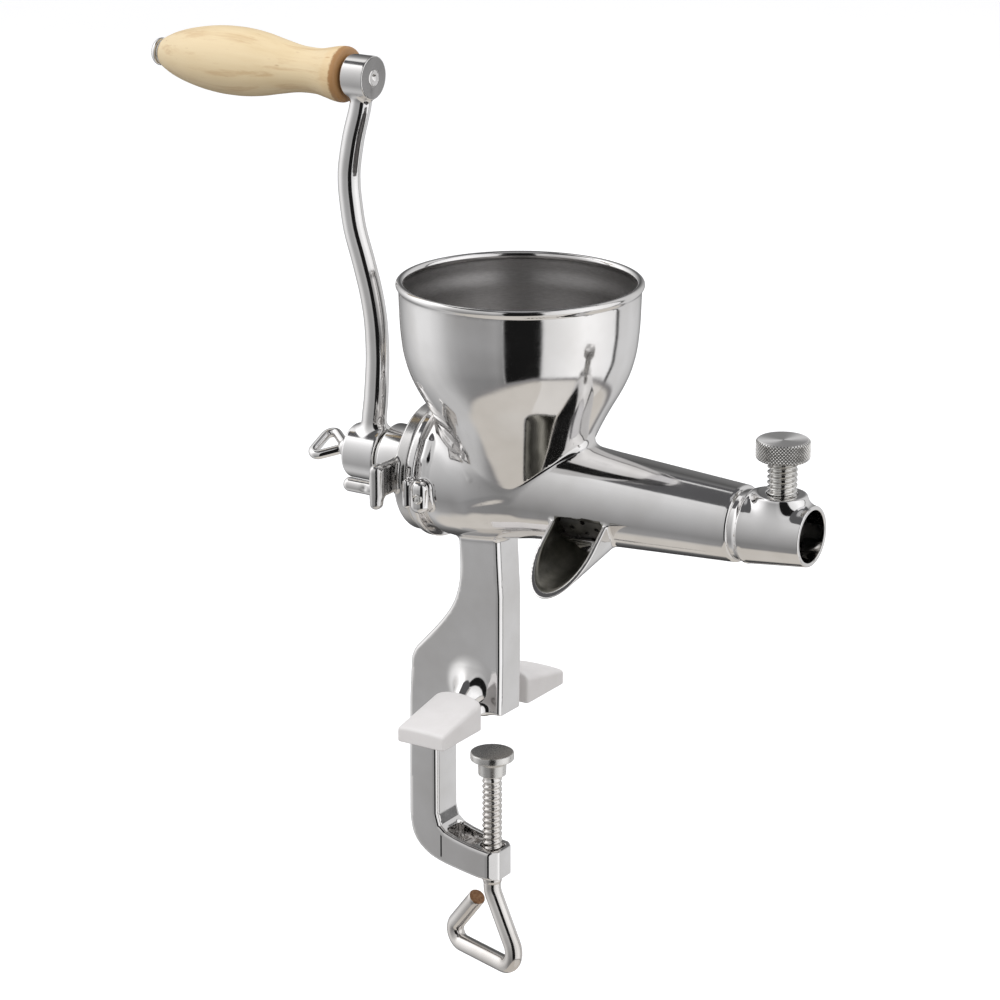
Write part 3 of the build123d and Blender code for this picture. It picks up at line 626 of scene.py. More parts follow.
P, T, Nn = field_mesh(nozzle_field, (156.5, -19.5, AX - 19.5), (204.5, 19.5, AX + 20.0), 0.7, rounds=2)
nozzle = mesh_object("outlet_nozzle_skin", P, T, Nn)


# ------------------------------------------------------------------ rear cover with its ear
def cover_field(x, y, z):
    zz = z - AX
    r = hyp(y, zz)
    d = sd_disc(r, x, -9.5, -1.6, 32.3, 1.6)
    d = smin(d, sd_disc(r, x, -11.2, -6.0, 21.0, 1.2), 1.5)
    d = np.minimum(d, np.maximum(np.maximum(r - 27.1, 22.6 - r), np.maximum(-3.0 - x, x - 9.9)))
    ear = sd_box(x, y, zz, (-8.9, -33.0, 2.6), (2.7, 14.5, 8.2), 2.4)
    tip = sd_box(x, y, zz, (-9.1, -46.4, 0), (3.0, 3.4, 10.9), 2.9)
    ear = smin(ear, tip, 3.0)
    d = smin(d, ear, 2.5)
    d = np.maximum(d, -(np.maximum(r - 17.0, x + 2.0)))
    d = np.maximum(d, -(r - 9.2))
    return d


P, T, Nn = field_mesh(cover_field, (-13.5, -51.5, AX - 34), (11.5, 34, AX + 34), 0.75, rounds=2)
cover = mesh_object("rear_cover_skin", P, T, Nn)


# ------------------------------------------------------------------ crank arm
arm_pts = smooth_line([(-42.6, 0, 128), (-42.2, 0, 141.2), (-41.0, 0, 152.0), (-39.9, 0, 169.0), (-39.9, 0, 181.0), (-40.9, 0, 194.0),
                       (-43.5, 0, 207.3), (-47.8, 0, 222.1), (-52.4, 0, 236.8), (-54.8, 0, 251.8), (-55.4, 0, 260.0), (-55.0, 0, 268.0),
                       (-52.4, 0, 282.3), (-48.6, 0, 296.0), (-46.8, 0, 306.0)], 4)
arm_rad = np.interp(arm_pts[:, 2], [128, 146, 170, 230, 270, 306], [6.4, 6.2, 5.9, 5.7, 5.6, 5.3])


def crank_field(x, y, z):
    zz = z - AX
    r = hyp(y, zz)
    rg = hyp(y, z - GZ)
    d = sd_path(x, y, z, arm_pts, arm_rad, 1.05)
    hub = sd_disc(r, x, -53.4, -34.3, 13.8, 1.5)
    d = smin(d, hub, 4.0)
    bosst = sd_disc(rg, x, -53.25, -40.1, 10.5, 0.7)
    d = smin(d, bosst, 2.6)
    d = np.where(z > 280, np.maximum(d, -53.25 - 0.45 * np.clip(300.0 - z, 0, 20) - x), d)
    d = np.where(z > 299, smax(d, x + 40.1, 0.5), d)
    d = smax(d, -(np.maximum(rg - 4.05, 0 * x - 1)), 0.3)
    sq = np.maximum(np.abs(y), np.abs(zz)) - 6.05
    d = np.maximum(d, -sq)
    return d


P, T, Nn = field_mesh(crank_field, (-63, -15.5, AX - 15.5), (-32.5, 15.5, GZ + 12.5), 0.85, rounds=2)
crank = mesh_object("crank_arm_skin", P, T, Nn)


# ------------------------------------------------------------------ rubber feet
def foot_field(x, y, z):
    ay = np.abs(y)
    u = (x - 21.2) / 13.4
    inner = np.clip((55.5 - ay) / 34.5, 0, 1)
    top = 8.0 + 9.2 * inner
    arch = (0.9 + 3.6 * inner) * (1 - np.sqrt(np.clip(1 - (u * 0.93) ** 2, 0.02, 1))) * 1.35
    t = (z - top + arch) * 0.94
    d = smax(smax(np.abs(x - 21.2) - 13.4, t, 1.6), smax(21.0 - ay, ay - 55.5, 1.0), 1.6)
    d = smax(d, -z, 0.7)
    # slot that the jaw arm sits in
    a = smax(sd_path(x, ay, z, [(20.5, 6.0, 18.6), (20.8, 19.0, 10.6), (21.0, 34.0, 7.2), (21.0, 49.0, 5.6)], [8.2, 5.2, 3.9, 2.4]),
             3.4 - z, 1.0)
    a = smin(a, sd_box(x, ay, z, (21.0, 30.0, 5.8), (7.6, 21.0, 2.3), 1.4), 2.0)
    d = smax(d, -(a - 0.15), 0.5)
    return d


feet = []
for tag, s in (("near", -1), ("far", 1)):
    y0, y1 = (-57, -19.5) if s < 0 else (19.5, 57)
    P, T, Nn = field_mesh(foot_field, (6.5, y0, -1.2), (36, y1, 19), 0.8, rounds=1)
    feet.append(mesh_object("rubber_foot_%s_skin" % tag, P, T, Nn))


# ------------------------------------------------------------------ pressure screw
knob_z0, knob_z1 = AX + 34.8, AX + 44.6
stud = thread("pressure_screw_stud_threaded", AX + 4.0, knob_z0 + 5.5, 7.0, 2.5, 1.5, origin=(PX, 0, 0), seg=80)

kr = 12.7
kz = [(knob_z0, 7.2), (knob_z0, kr - 1.3), (knob_z0 + 0.35, kr - 0.75), (knob_z0 + 1.0, kr - 0.15)]
kz += [(z, kr) for z in np.linspace(knob_z0 + 1.3, knob_z1 - 1.3, 46)]
kz += [(knob_z1 - 1.0, kr - 0.15), (knob_z1 - 0.35, kr - 0.75), (knob_z1, kr - 1.35)]
kz += [(knob_z1 - 0.07 - 0.55 * (1 - (r / 11.0) ** 2), r) for r in np.linspace(11.0, 0.3, 14)]
kz += [(knob_z0 + 6.2, 0.3), (knob_z0 + 6.2, 7.2)]


def knurl(A, R, TH):
    on = np.clip(np.minimum(A - (knob_z0 + 0.9), (knob_z1 - 0.9) - A) / 0.5, 0, 1) * (R > kr - 0.3)
    u = 48 * TH / (2 * math.pi)
    w = (A - knob_z0) / 1.66
    t1 = np.abs((u + w) % 1.0 - 0.5) * 2
    t2 = np.abs((u - w) % 1.0 - 0.5) * 2
    v = np.minimum(t1, t2)
    return A, R - on * 0.62 * (1 - np.clip(v * 1.15, 0, 1))


knob = revolve("pressure_screw_knob_knurled", kz, seg=480, axis="Z", origin=(PX, 0, 0), shape=knurl, sharp=60)

# ------------------------------------------------------------------ turned pieces
sleeve = revolve("bearing_sleeve_turned", round_profile(
    [(-30, 13.05), (-30, 17), (-2, 17), (-2, 13.05)], [0.4, 1.1, 0.2, 0.2], closed=True), seg=128, origin=(0, 0, AX))
peg_pts = [(-9.0, 0.02), (-9.0, 3.5), (-24.6, 3.5)] + [(-24.6 - 3.4 * math.sin(a), 3.5 * math.cos(a)) for a in np.linspace(0.12, 1.52, 12)] + [(-28.0, 0.02)]


def peg_dimple(A, R, TH):
    q = ((A + 14.6) / 1.7) ** 2 + ((np.abs((TH - math.pi / 2 + math.pi) % (2 * math.pi) - math.pi)) / 0.45) ** 2
    return A, R - 0.8 * np.exp(-q * 1.6) * (R > 2)


dense = []
for (a0, r0), (a1, r1) in zip(peg_pts, peg_pts[1:]):
    m = max(1, int(abs(a1 - a0) / 0.5))
    dense += [(a0 + (a1 - a0) * i / m, r0 + (r1 - r0) * i / m) for i in range(m)]
dense.append(peg_pts[-1])
peg = revolve("cover_peg_turned", dense, seg=48, origin=(0, -46.0, AX - 1.0), shape=peg_dimple, sharp=50)

# the two bayonet pins, peened over in the bosses
pins = []
for side in (-1, 1):
    o = revolve("pin_%d" % (side + 1), [(36.0, 0.05), (36.0, 2.55), (38.8, 2.55), (39.1, 2.35), (39.25, 1.95), (39.0, 1.6), (38.85, 1.3),
                                        (39.0, 0.95), (39.15, 0.6), (39.18, 0.05)], seg=48, axis="Z", sharp=50)
    from mathutils import Matrix
    o.data.transform(Matrix.Translation((9.0 * MM, 0, (AX - 5.0) * MM)) @ Matrix.Rotation(math.radians(-90.0 * side), 4, "X"))
    o.data.update()
    pins.append(o)
pins = join("bayonet_pins_peened", pins)

# wooden grip
gp = smooth_line([(-54.9, 12.3), (-55.6, 13.2), (-57.4, 13.6), (-61.0, 13.3), (-66.0, 12.2), (-72.5, 11.1), (-83.0, 11.4), (-94.0, 13.3),
                  (-105.0, 15.5), (-115.6, 16.7), (-126.5, 16.8), (-137.5, 15.8), (-148.5, 13.7), (-157.0, 11.2), (-163.0, 8.6),
                  (-165.6, 7.0), (-166.2, 5.4)], 5)
grip = revolve("handle_grip_turned", [(-54.9, 4.2), (-54.9, 8.0)] + [(v[0], min(v[1], 16.84)) for v in gp] + [(-166.25, 4.2)], seg=128, origin=(0, 0, GZ), sharp=45)

# grip bolt: domed head at the outer end, peened end with a centre mark in the arm's boss
bolt_pts = [(-39.95, 0.05), (-40.65, 0.6), (-40.75, 1.2), (-40.2, 1.7), (-39.9, 2.1), (-39.75, 3.0), (-39.8, 3.8), (-40.2, 4.15), (-40.5, 4.0)]
bolt_pts = [(-41.3, 0.05), (-41.2, 0.8), (-40.5, 1.5), (-40.12, 1.9), (-40.1, 2.9), (-40.1, 3.6), (-40.3, 3.95), (-41.0, 4.0)]
bolt_pts += [(-167.6, 4.0), (-167.6, 6.3), (-167.75, 6.75), (-168.2, 6.9)] + [
    (-168.2 - 3.8 * math.sin(a), 6.9 * math.cos(a) ** 0.85) for a in np.linspace(0.1, 1.5, 12)] + [(-172.0, 0.05)]
bolt = revolve("grip_bolt_turned", bolt_pts, seg=72, origin=(0, 0, GZ), sharp=40)

# ------------------------------------------------------------------ wing screw
roll = math.radians(24.0)


def wing(s, t):
    """Point of the ring's plane: s along X, t across."""
    return (s, t * math.cos(roll), AX + t * math.sin(roll))


tri = round_profile([(-59.0, 0.0), (-75.4, 12.6), (-75.4, -12.6)], 3.6, seg=8, closed=True)
fine = []
for i in range(len(tri)):
    a, b = np.array(tri[i]), np.array(tri[(i + 1) % len(tri)])
    m = max(1, int(np.linalg.norm(b - a) / 1.5))
    fine += [tuple(a + (b - a) * j / m) for j in range(m)]
ring = tube("wing_screw_ring", [wing(s, t) for s, t in fine], 2.4, seg=24, closed=True)
shank = thread("wing_screw_shank", -54.0, -35.4, 3.93, 1.25, 0.6, axis="X", origin=(0, 0, AX), seg=40)
neck = revolve("wing_screw_neck", round_profile(
    [(-63.2, 0.05), (-63.2, 2.0), (-60.6, 4.4), (-54.9, 5.0), (-54.9, 3.2), (-53.6, 3.2), (-53.6, 0.05)], [0, 0.8, 1.6, 0.5, 0.2, 0.2, 0], closed=True),
    seg=56, origin=(0, 0, AX))
wing_screw = join("wing_screw_bent", [ring, shank, neck])

# ------------------------------------------------------------------ clamp screw and pad
yaw = math.radians(-19.0)


def hp(s, z):
    return (CX + s * math.cos(yaw), s * math.sin(yaw), z)


path = round_profile([(0.0, -87.6), (0.0, -95.0), (24.5, -132.0), (-38.5, -133.4), (-12.6, -103.5)], [0, 9.0, 8.5, 6.4, 0], seg=12)
fine = []
for i in range(len(path) - 1):
    a, b = np.array(path[i]), np.array(path[i + 1])
    m = max(1, int(np.linalg.norm(b - a) / 2.5))
    fine += [tuple(a + (b - a) * j / m) for j in range(m)]
fine.append(path[-1])
handle = tube("clamp_handle", [hp(s, z) for s, z in fine], 4.4, seg=36)
rod = thread("clamp_rod", -86.6, -33.4, 5.0, 3.0, 0.8, origin=(CX, 0, 0), seg=56)
shoulder = revolve("clamp_shoulder", round_profile(
    [(-90.6, 0.05), (-90.6, 4.5), (-89.0, 5.0), (-86.4, 5.0), (-86.4, 0.05)], [0, 0.4, 0.5, 0.4, 0], closed=True), seg=56, axis="Z", origin=(CX, 0, 0))
pin = revolve("clamp_pivot", round_profile(
    [(-33.6, 0.05), (-33.6, 4.2), (-24.7, 4.2), (-24.7, 0.05)], [0, 0.2, 0.5, 0], closed=True), seg=48, axis="Z", origin=(CX, 0, 0))
clamp_screw = join("clamp_screw_bent", [handle, rod, shoulder, pin])
pad = revolve("clamp_pad_turned", round_profile(
    [(-24.3, 0.05), (-24.3, 4.3), (-32.0, 4.3), (-32.0, 7.0), (-25.6, 7.2), (-23.6, 11.0), (-20.0, 11.0), (-20.0, 0.05)],
    [0, 0.1, 0.3, 0.5, 1.0, 0.6, 0.9, 0], closed=True), seg=96, axis="Z", origin=(CX, 0, 0))

# ------------------------------------------------------------------ auger
ax0, ax1 = 12.6, 154.0
nx, ns = 420, 72
xs = np.linspace(ax0, ax1, nx)
turns = np.interp(xs, [12.6, 60, 110, 154], [0.0, 1.9, 4.5, 7.4])
th = np.linspace(0, 2 * math.pi, ns, endpoint=False)
XX, TT = np.meshgrid(xs, th, indexing="ij")
ph = (turns[:, None] - TT / (2 * math.pi)) % 1.0
lim = bore.at(xs)[:, None] - 0.8
core = lim * np.interp(xs, [12, 60, 154], [0.50, 0.60, 0.80])[:, None]
w = np.interp(xs, [12, 60, 154], [0.20, 0.24, 0.30])[:, None]
f = np.clip(1 - np.abs(ph - 0.5) / w, 0, 1)
f = np.clip(f * 1.9, 0, 1)
f = f * f * (3 - 2 * f)
fade = np.clip(np.minimum(XX - ax0, ax1 - XX) / 4.0, 0, 1)
R = core + (lim - core) * f * fade
P = np.stack([XX, R * np.sin(TT), AX + R * np.cos(TT)], 2).reshape(-1, 3)
i = np.arange(nx - 1)[:, None]
j = np.arange(ns)[None, :]
Q = np.stack([i * ns + j, i * ns + (j + 1) % ns, (i + 1) * ns + (j + 1) % ns, (i + 1) * ns + j], 2).reshape(-1, 4)
me = bpy.data.meshes.new("auger_flighted")
me.from_pydata([tuple(v * MM) for v in np.concatenate([P, [[ax0, 0, AX], [ax1, 0, AX]]])], [],
               [tuple(q) for q in Q.tolist()] + [(len(P), (k + 1) % ns, k) for k in range(ns)]
               + [(len(P) + 1, (nx - 1) * ns + k, (nx - 1) * ns + (k + 1) % ns) for k in range(ns)])
auger = bpy.data.objects.new("auger_flighted", me)
bpy.context.scene.collection.objects.link(auger)
fix_normals(auger)
set_sharp(auger, 50)


# ------------------------------------------------------------------ materials
def nodes_of(name):
    m = bpy.data.materials.new(name)
    m.use_nodes = True
    nt = m.node_tree
    b = nt.nodes["Principled BSDF"]
    return m, nt, b


def noise(nt, scale, detail=3.0, rough=0.5, vec=None, dist=0.0):
    n = nt.nodes.new("ShaderNodeTexNoise")
    n.inputs["Scale"].default_value = scale
    n.inputs["Detail"].default_value = detail
    n.inputs["Roughness"].default_value = rough
    n.inputs["Distortion"].default_value = dist
    if vec is not None:
        nt.links.new(vec, n.inputs["Vector"])
    return n.outputs["Fac"]


def coords(nt, scale=(1, 1, 1), rot=(0, 0, 0), loc=(0, 0, 0)):
    tc = nt.nodes.new("ShaderNodeTexCoord")
    mp = nt.nodes.new("ShaderNodeMapping")
    mp.inputs["Scale"].default_value = scale
    mp.inputs["Rotation"].default_value = rot
    mp.inputs["Location"].default_value = loc
    nt.links.new(tc.outputs["Object"], mp.inputs["Vector"])
    return mp.outputs["Vector"]


def ramp(nt, fac, stops):
    r = nt.nodes.new("ShaderNodeValToRGB")
    e = r.color_ramp.elements
    while len(e) < len(stops):
        e.new(0.5)
    for k, (p, c) in enumerate(stops):
        e[k].position = p
        e[k].color = (*c, 1) if len(c) == 3 else c
    nt.links.new(fac, r.inputs["Fac"])
    return r.outputs["Color"]


def rng(nt, fac, a, b, lo, hi):
    r = nt.nodes.new("ShaderNodeMapRange")
    r.inputs["From Min"].default_value = a
    r.inputs["From Max"].default_value = b
    r.inputs["To Min"].default_value = lo
    r.inputs["To Max"].default_value = hi
    nt.links.new(fac, r.inputs["Value"])
    return r.outputs["Result"]


def math_node(nt, op, a, b=None, c=None, clamp=False):
    n = nt.nodes.new("ShaderNodeMath")
    n.operation = op
    n.use_clamp = clamp
    for k, v in enumerate((a, b, c)):
        if v is None:
            continue
        if isinstance(v, (int, float)):
            n.inputs[k].default_value = v
        else:
            nt.links.new(v, n.inputs[k])
    return n.outputs[0]


def mix(nt, fac, a, b, mode="MIX"):
    n = nt.nodes.new("ShaderNodeMix")
    n.data_type = "RGBA"
    n.blend_type = mode
    for sock, v in ((n.inputs[0], fac), (n.inputs[6], a), (n.inputs[7], b)):
        if isinstance(v, (int, float)):
            sock.default_value = v
        elif isinstance(v, (tuple, list)):
            sock.default_value = (*v, 1) if len(v) == 3 else v
        else:
            nt.links.new(v, sock)
    return n.outputs[2]


def bump(nt, b, height, strength, distance):
    n = nt.nodes.new("ShaderNodeBump")
    n.inputs["Strength"].default_value = strength
    n.inputs["Distance"].default_value = distance
    nt.links.new(height, n.inputs["Height"])
    nt.links.new(n.outputs["Normal"], b.inputs["Normal"])
    return n


def steel(name, tint=(0.80, 0.79, 0.785), dark=(0.70, 0.685, 0.67), r0=0.035, r1=0.13, wave=0.35, scratch=0.05, stretch=(1, 1, 1)):
    """Polished stainless: a mirror with faint cloudy wear, buffing lines and slight waviness."""
    m, nt, b = nodes_of(name)
    v = coords(nt)
    big = noise(nt, 26, 3, 0.55, v)
    col = ramp(nt, big, [(0.30, dark), (0.62, tint), (1.0, tuple(min(1, c * 1.03) for c in tint))])
    nt.links.new(col, b.inputs["Base Color"])
    b.inputs["Metallic"].default_value = 1.0
    cloud = noise(nt, 60, 5, 0.62, v)
    lines = noise(nt, 900, 2, 0.5, coords(nt, stretch))
    rough = math_node(nt, "ADD", rng(nt, cloud, 0.35, 0.8, r0, r1), rng(nt, lines, 0.3, 0.8, 0.0, scratch))
    nt.links.new(rough, b.inputs["Roughness"])
    h = math_node(nt, "ADD", math_node(nt, "MULTIPLY", noise(nt, 42, 1.0, 0.4, v), wave), math_node(nt, "MULTIPLY", lines, 0.02))
    bump(nt, b, h, 0.35, 0.0006)
    return m


polished = steel("polished_steel", stretch=(0.12, 1, 1))
# darker steel for the bowl's inside: satin finish, its colour darkened as painted shade
satin_in = steel("satin_bowl_inside", (0.50, 0.49, 0.48), (0.40, 0.39, 0.38), 0.30, 0.42, 0.2, 0.10, (1, 1, 7))
satin = steel("satin_steel", (0.70, 0.69, 0.67), (0.56, 0.545, 0.53), 0.20, 0.34, 0.15, 0.12, (1, 1, 6))
turned = steel("turned_steel", (0.74, 0.73, 0.71), (0.58, 0.57, 0.55), 0.09, 0.20, 0.1, 0.06, (1, 1, 9))
# darker, rougher steel for the bore, the auger and the strainer: the rougher finish is real, the darker colour is
# painted shade inside the barrel
dark_steel = steel("inner_steel", (0.42, 0.41, 0.40), (0.30, 0.29, 0.28), 0.34, 0.5, 0.2, 0.1)
clampsteel = steel("clamp_steel", (0.74, 0.72, 0.70), (0.60, 0.57, 0.54), 0.07, 0.20, 0.5, 0.08, (1, 1, 0.2))

cast = steel("cast_steel", (0.66, 0.65, 0.64), (0.54, 0.53, 0.52), 0.12, 0.22, 0.3, 0.06)

# turned top of the knob: fine rings about its axis
m, nt, b = nodes_of("knurled_steel")
v = coords(nt, loc=(-PX * MM, 0, 0))
sep = nt.nodes.new("ShaderNodeSeparateXYZ")
nt.links.new(v, sep.inputs[0])
rr = math_node(nt, "SQRT", math_node(nt, "ADD", math_node(nt, "MULTIPLY", sep.outputs[0], sep.outputs[0]),
                                     math_node(nt, "MULTIPLY", sep.outputs[1], sep.outputs[1])))
ringsn = math_node(nt, "SINE", math_node(nt, "MULTIPLY", rr, 24000.0))
col = ramp(nt, noise(nt, 420, 3, 0.6, v), [(0.25, (0.42, 0.41, 0.39)), (0.7, (0.68, 0.67, 0.65))])
nt.links.new(col, b.inputs["Base Color"])
b.inputs["Metallic"].default_value = 1.0
nt.links.new(rng(nt, noise(nt, 300, 3, 0.5, v), 0.3, 0.8, 0.20, 0.36), b.inputs["Roughness"])
bump(nt, b, ringsn, 0.20, 0.00003)
ang = math_node(nt, "ARCTAN2", sep.outputs[1], sep.outputs[0])
un = math_node(nt, "MULTIPLY", ang, 48 / (2 * math.pi))
wn = math_node(nt, "MULTIPLY", math_node(nt, "SUBTRACT", sep.outputs[2], knob_z0 * MM), 1 / (1.66 * MM))


def tri_wave(k):
    f_ = math_node(nt, "FRACT", math_node(nt, "ADD", k, 100.0))
    return math_node(nt, "MULTIPLY", math_node(nt, "ABSOLUTE", math_node(nt, "SUBTRACT", f_, 0.5)), 2.0)


# painted shade and highlight: the knurl's grooves are painted near black and its diamonds lightened, standing in for
# the knurl's light and shade
v2 = math_node(nt, "MINIMUM", tri_wave(math_node(nt, "ADD", un, wn)), tri_wave(math_node(nt, "SUBTRACT", un, wn)))
knurl_groove_shade = rng(nt, v2, 0.05, 0.55, 0.0, 1.0)
nt.links.new(mix(nt, knurl_groove_shade, (0.06, 0.058, 0.055), mix(nt, 0.6, col, (0.95, 0.94, 0.92))), b.inputs["Base Color"])
b.inputs["Metallic"].default_value = 0.84
knurled = m

m, nt, b = nodes_of("turned_face")
v = coords(nt, loc=(-PX * MM, 0, 0))
sep = nt.nodes.new("ShaderNodeSeparateXYZ")
nt.links.new(v, sep.inputs[0])
rr = math_node(nt, "SQRT", math_node(nt, "ADD", math_node(nt, "MULTIPLY", sep.outputs[0], sep.outputs[0]),
                                     math_node(nt, "MULTIPLY", sep.outputs[1], sep.outputs[1])))
ringsn = math_node(nt, "SINE", math_node(nt, "MULTIPLY", rr, 15000.0))
# painted highlight: bright wedges in the colour where the turning marks would catch the light
an = math_node(nt, "ARCTAN2", sep.outputs[1], sep.outputs[0])
turning_wedge_highlight = math_node(nt, "ADD", math_node(nt, "MULTIPLY", math_node(nt, "COSINE", math_node(nt, "MULTIPLY", math_node(nt, "SUBTRACT", an, 0.9), 2.0)), 0.5), 0.5)
turning_wedge_highlight = math_node(nt, "POWER", turning_wedge_highlight, 2.5)
wedge_highlight_col = mix(nt, turning_wedge_highlight, (0.34, 0.335, 0.33), (0.98, 0.97, 0.96))
nt.links.new(mix(nt, rng(nt, ringsn, -1, 1, 0.0, 0.22), wedge_highlight_col, (0.36, 0.355, 0.35)), b.inputs["Base Color"])
b.inputs["Metallic"].default_value = 0.62
nt.links.new(rng(nt, noise(nt, 300, 3, 0.5, v), 0.3, 0.8, 0.36, 0.46), b.inputs["Roughness"])
bump(nt, b, ringsn, 0.25, 0.00004)
turned_top = m

# wood
m, nt, b = nodes_of("grip_wood")
v = coords(nt, (0.35, 5.0, 5.0))
g1 = noise(nt, 30, 5, 0.6, v, 0.25)
g2 = noise(nt, 150, 4, 0.65, coords(nt, (0.10, 1.2, 1.2)))
base = ramp(nt, g1, [(0.25, (0.74, 0.57, 0.33)), (0.50, (0.80, 0.645, 0.405)), (0.80, (0.84, 0.695, 0.455))])
fl = ramp(nt, g2, [(0.36, (0.62, 0.42, 0.22)), (0.48, (1, 1, 1)), (1.0, (1, 1, 1))])
c1 = mix(nt, 0.34, base, fl, "MULTIPLY")
sp = nt.nodes.new("ShaderNodeTexVoronoi")
sp.inputs["Scale"].default_value = 330
nt.links.new(coords(nt, (0.22, 1, 1)), sp.inputs["Vector"])
speck = rng(nt, sp.outputs["Distance"], 0.05, 0.18, 0.75, 0.0)
mask = rng(nt, noise(nt, 90, 2, 0.5, coords(nt)), 0.50, 0.62, 0.0, 1.0)
c2 = mix(nt, math_node(nt, "MULTIPLY", speck, mask), c1, (0.50, 0.31, 0.15))
sepx = nt.nodes.new("ShaderNodeSeparateXYZ")
nt.links.new(coords(nt), sepx.inputs[0])
wob = math_node(nt, "ADD", sepx.outputs[0], math_node(nt, "MULTIPLY", noise(nt, 700, 2, 0.6, coords(nt)), 0.0022))
n = nt.nodes.new("ShaderNodeMapRange")
n.interpolation_type = "SMOOTHSTEP"
n.inputs["From Min"].default_value = -0.0573
n.inputs["From Max"].default_value = -0.0558
nt.links.new(wob, n.inputs["Value"])
c3 = mix(nt, math_node(nt, "MULTIPLY", n.outputs["Result"], 0.92), c2, (0.30, 0.135, 0.045))
n2 = nt.nodes.new("ShaderNodeMapRange")
n2.interpolation_type = "SMOOTHSTEP"
n2.inputs["From Min"].default_value = -0.0635
n2.inputs["From Max"].default_value = -0.0600
nt.links.new(wob, n2.inputs["Value"])
c4 = mix(nt, math_node(nt, "MULTIPLY", n2.outputs["Result"], 0.16), c3, (0.72, 0.43, 0.16))
nt.links.new(c4, b.inputs["Base Color"])
nt.links.new(rng(nt, g1, 0.2, 0.8, 0.38, 0.52), b.inputs["Roughness"])
b.inputs["Coat Weight"].default_value = 0.12
b.inputs["Coat Roughness"].default_value = 0.3
bump(nt, b, g2, 0.25, 0.0003)
wood = m

# white rubber
m, nt, b = nodes_of("white_rubber")
v = coords(nt)
col = ramp(nt, noise(nt, 45, 4, 0.6, v), [(0.3, (0.74, 0.72, 0.71)), (0.6, (0.80, 0.78, 0.775)), (1, (0.83, 0.815, 0.81))])
nt.links.new(col, b.inputs["Base Color"])
nt.links.new(rng(nt, noise(nt, 200, 3, 0.5, v), 0.3, 0.7, 0.52, 0.70), b.inputs["Roughness"])
bump(nt, b, noise(nt, 1500, 3, 0.6, v), 0.18, 0.0002)
rubber = m

m, nt, b = nodes_of("black_seal")
v = coords(nt)
nt.links.new(ramp(nt, noise(nt, 200, 3, 0.6, v), [(0.3, (0.012, 0.012, 0.012)), (0.8, (0.03, 0.03, 0.03))]), b.inputs["Base Color"])
nt.links.new(rng(nt, noise(nt, 400, 3, 0.6, v), 0.3, 0.8, 0.5, 0.75), b.inputs["Roughness"])
seal = m

m, nt, b = nodes_of("nylon")
v = coords(nt)
nt.links.new(ramp(nt, noise(nt, 150, 3, 0.6, v), [(0.3, (0.62, 0.59, 0.53)), (0.8, (0.76, 0.73, 0.67))]), b.inputs["Base Color"])
nt.links.new(rng(nt, noise(nt, 300, 3, 0.6, v), 0.3, 0.8, 0.35, 0.5), b.inputs["Roughness"])
bump(nt, b, noise(nt, 900, 3, 0.6, v), 0.15, 0.0002)
nylon = m


# ------------------------------------------------------------------ piece, body, node
def piece(ob, mat, body_name, slot, *nodes):
    ob.data.materials.clear()
    ob.data.materials.append(mat)
    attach(ob, body_name)
    if nodes:
        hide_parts(*nodes)
    return ob


piece(body, polished, "frame", "polished_steel", "hopper_bowl", "barrel_housing", "juice_spout", "clamp_neck", "clamp_spine",
      "lower_arm", "jaw_arm_near", "jaw_arm_far")
piece(pins, turned, "frame", "satin_steel", "bayonet_pins")
piece(nozzle, polished, "frame", "polished_steel", "outlet_nozzle")
piece(cover, cast, "cover", "polished_steel", "rear_cover")
piece(peg, polished, "cover", "polished_steel", "cover_peg")
piece(sleeve, polished, "cover", "polished_steel", "bearing_sleeve")
piece(crank, polished, "crank", "polished_steel", "crank_arm")
piece(grip, wood, "grip", "wood_grip", "handle_grip")
piece(bolt, polished, "crank", "polished_steel", "grip_bolt")
piece(wing_screw, polished, "wing_screw", "polished_steel", "wing_screw")
piece(stud, turned, "pressure_stud", "satin_steel", "pressure_screw_stud")
piece(knob, knurled, "pressure_knob", "satin_steel", "pressure_screw_knob")
piece(clamp_screw, clampsteel, "clamp_screw", "polished_steel", "clamp_screw")
piece(pad, satin, "clamp_pad", "satin_steel", "clamp_pad")
piece(auger, dark_steel, "crank", "satin_steel", "auger")
piece(feet[0], rubber, "frame", "white_rubber", "rubber_foot_near")
piece(feet[1], rubber, "frame", "white_rubber", "rubber_foot_far")
for node, mat in (("auger_shaft", satin), ("strainer_screen", dark_steel), ("seal_ring", seal),
                  ("shaft_bush", nylon), ("thrust_washer", nylon), ("hub_washer", satin), ("grip_washers", satin), ("lock_washer", polished)):
    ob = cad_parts[node]
    ob.data.materials.clear()
    ob.data.materials.append(mat)

# the flat end of the crank's upper boss, left darker than the rest
me = crank.data
me.materials.append(steel("end_face_steel", (0.40, 0.39, 0.385), (0.30, 0.295, 0.29), 0.08, 0.18, 0.2, 0.05))
cen = np.zeros(len(me.polygons) * 3, np.float32)
nor = np.zeros(len(me.polygons) * 3, np.float32)
me.polygons.foreach_get("center", cen)
me.polygons.foreach_get("normal", nor)
cen, nor = cen.reshape(-1, 3) / MM, nor.reshape(-1, 3)
me.polygons.foreach_set("material_index", ((nor[:, 0] > 0.93) & (cen[:, 0] > -40.7) & (cen[:, 2] > 300.0)).astype(np.int32))
me.update()

# the knob's faced top
me = knob.data
me.materials.append(turned_top)
cen = np.zeros(len(me.polygons) * 3, np.float32)
nor = np.zeros(len(me.polygons) * 3, np.float32)
me.polygons.foreach_get("center", cen)
me.polygons.foreach_get("normal", nor)
cen, nor = cen.reshape(-1, 3) / MM, nor.reshape(-1, 3)
me.polygons.foreach_set("material_index", ((np.abs(nor[:, 2]) > 0.8) & (cen[:, 2] > knob_z1 - 1.6)).astype(np.int32))
me.update()

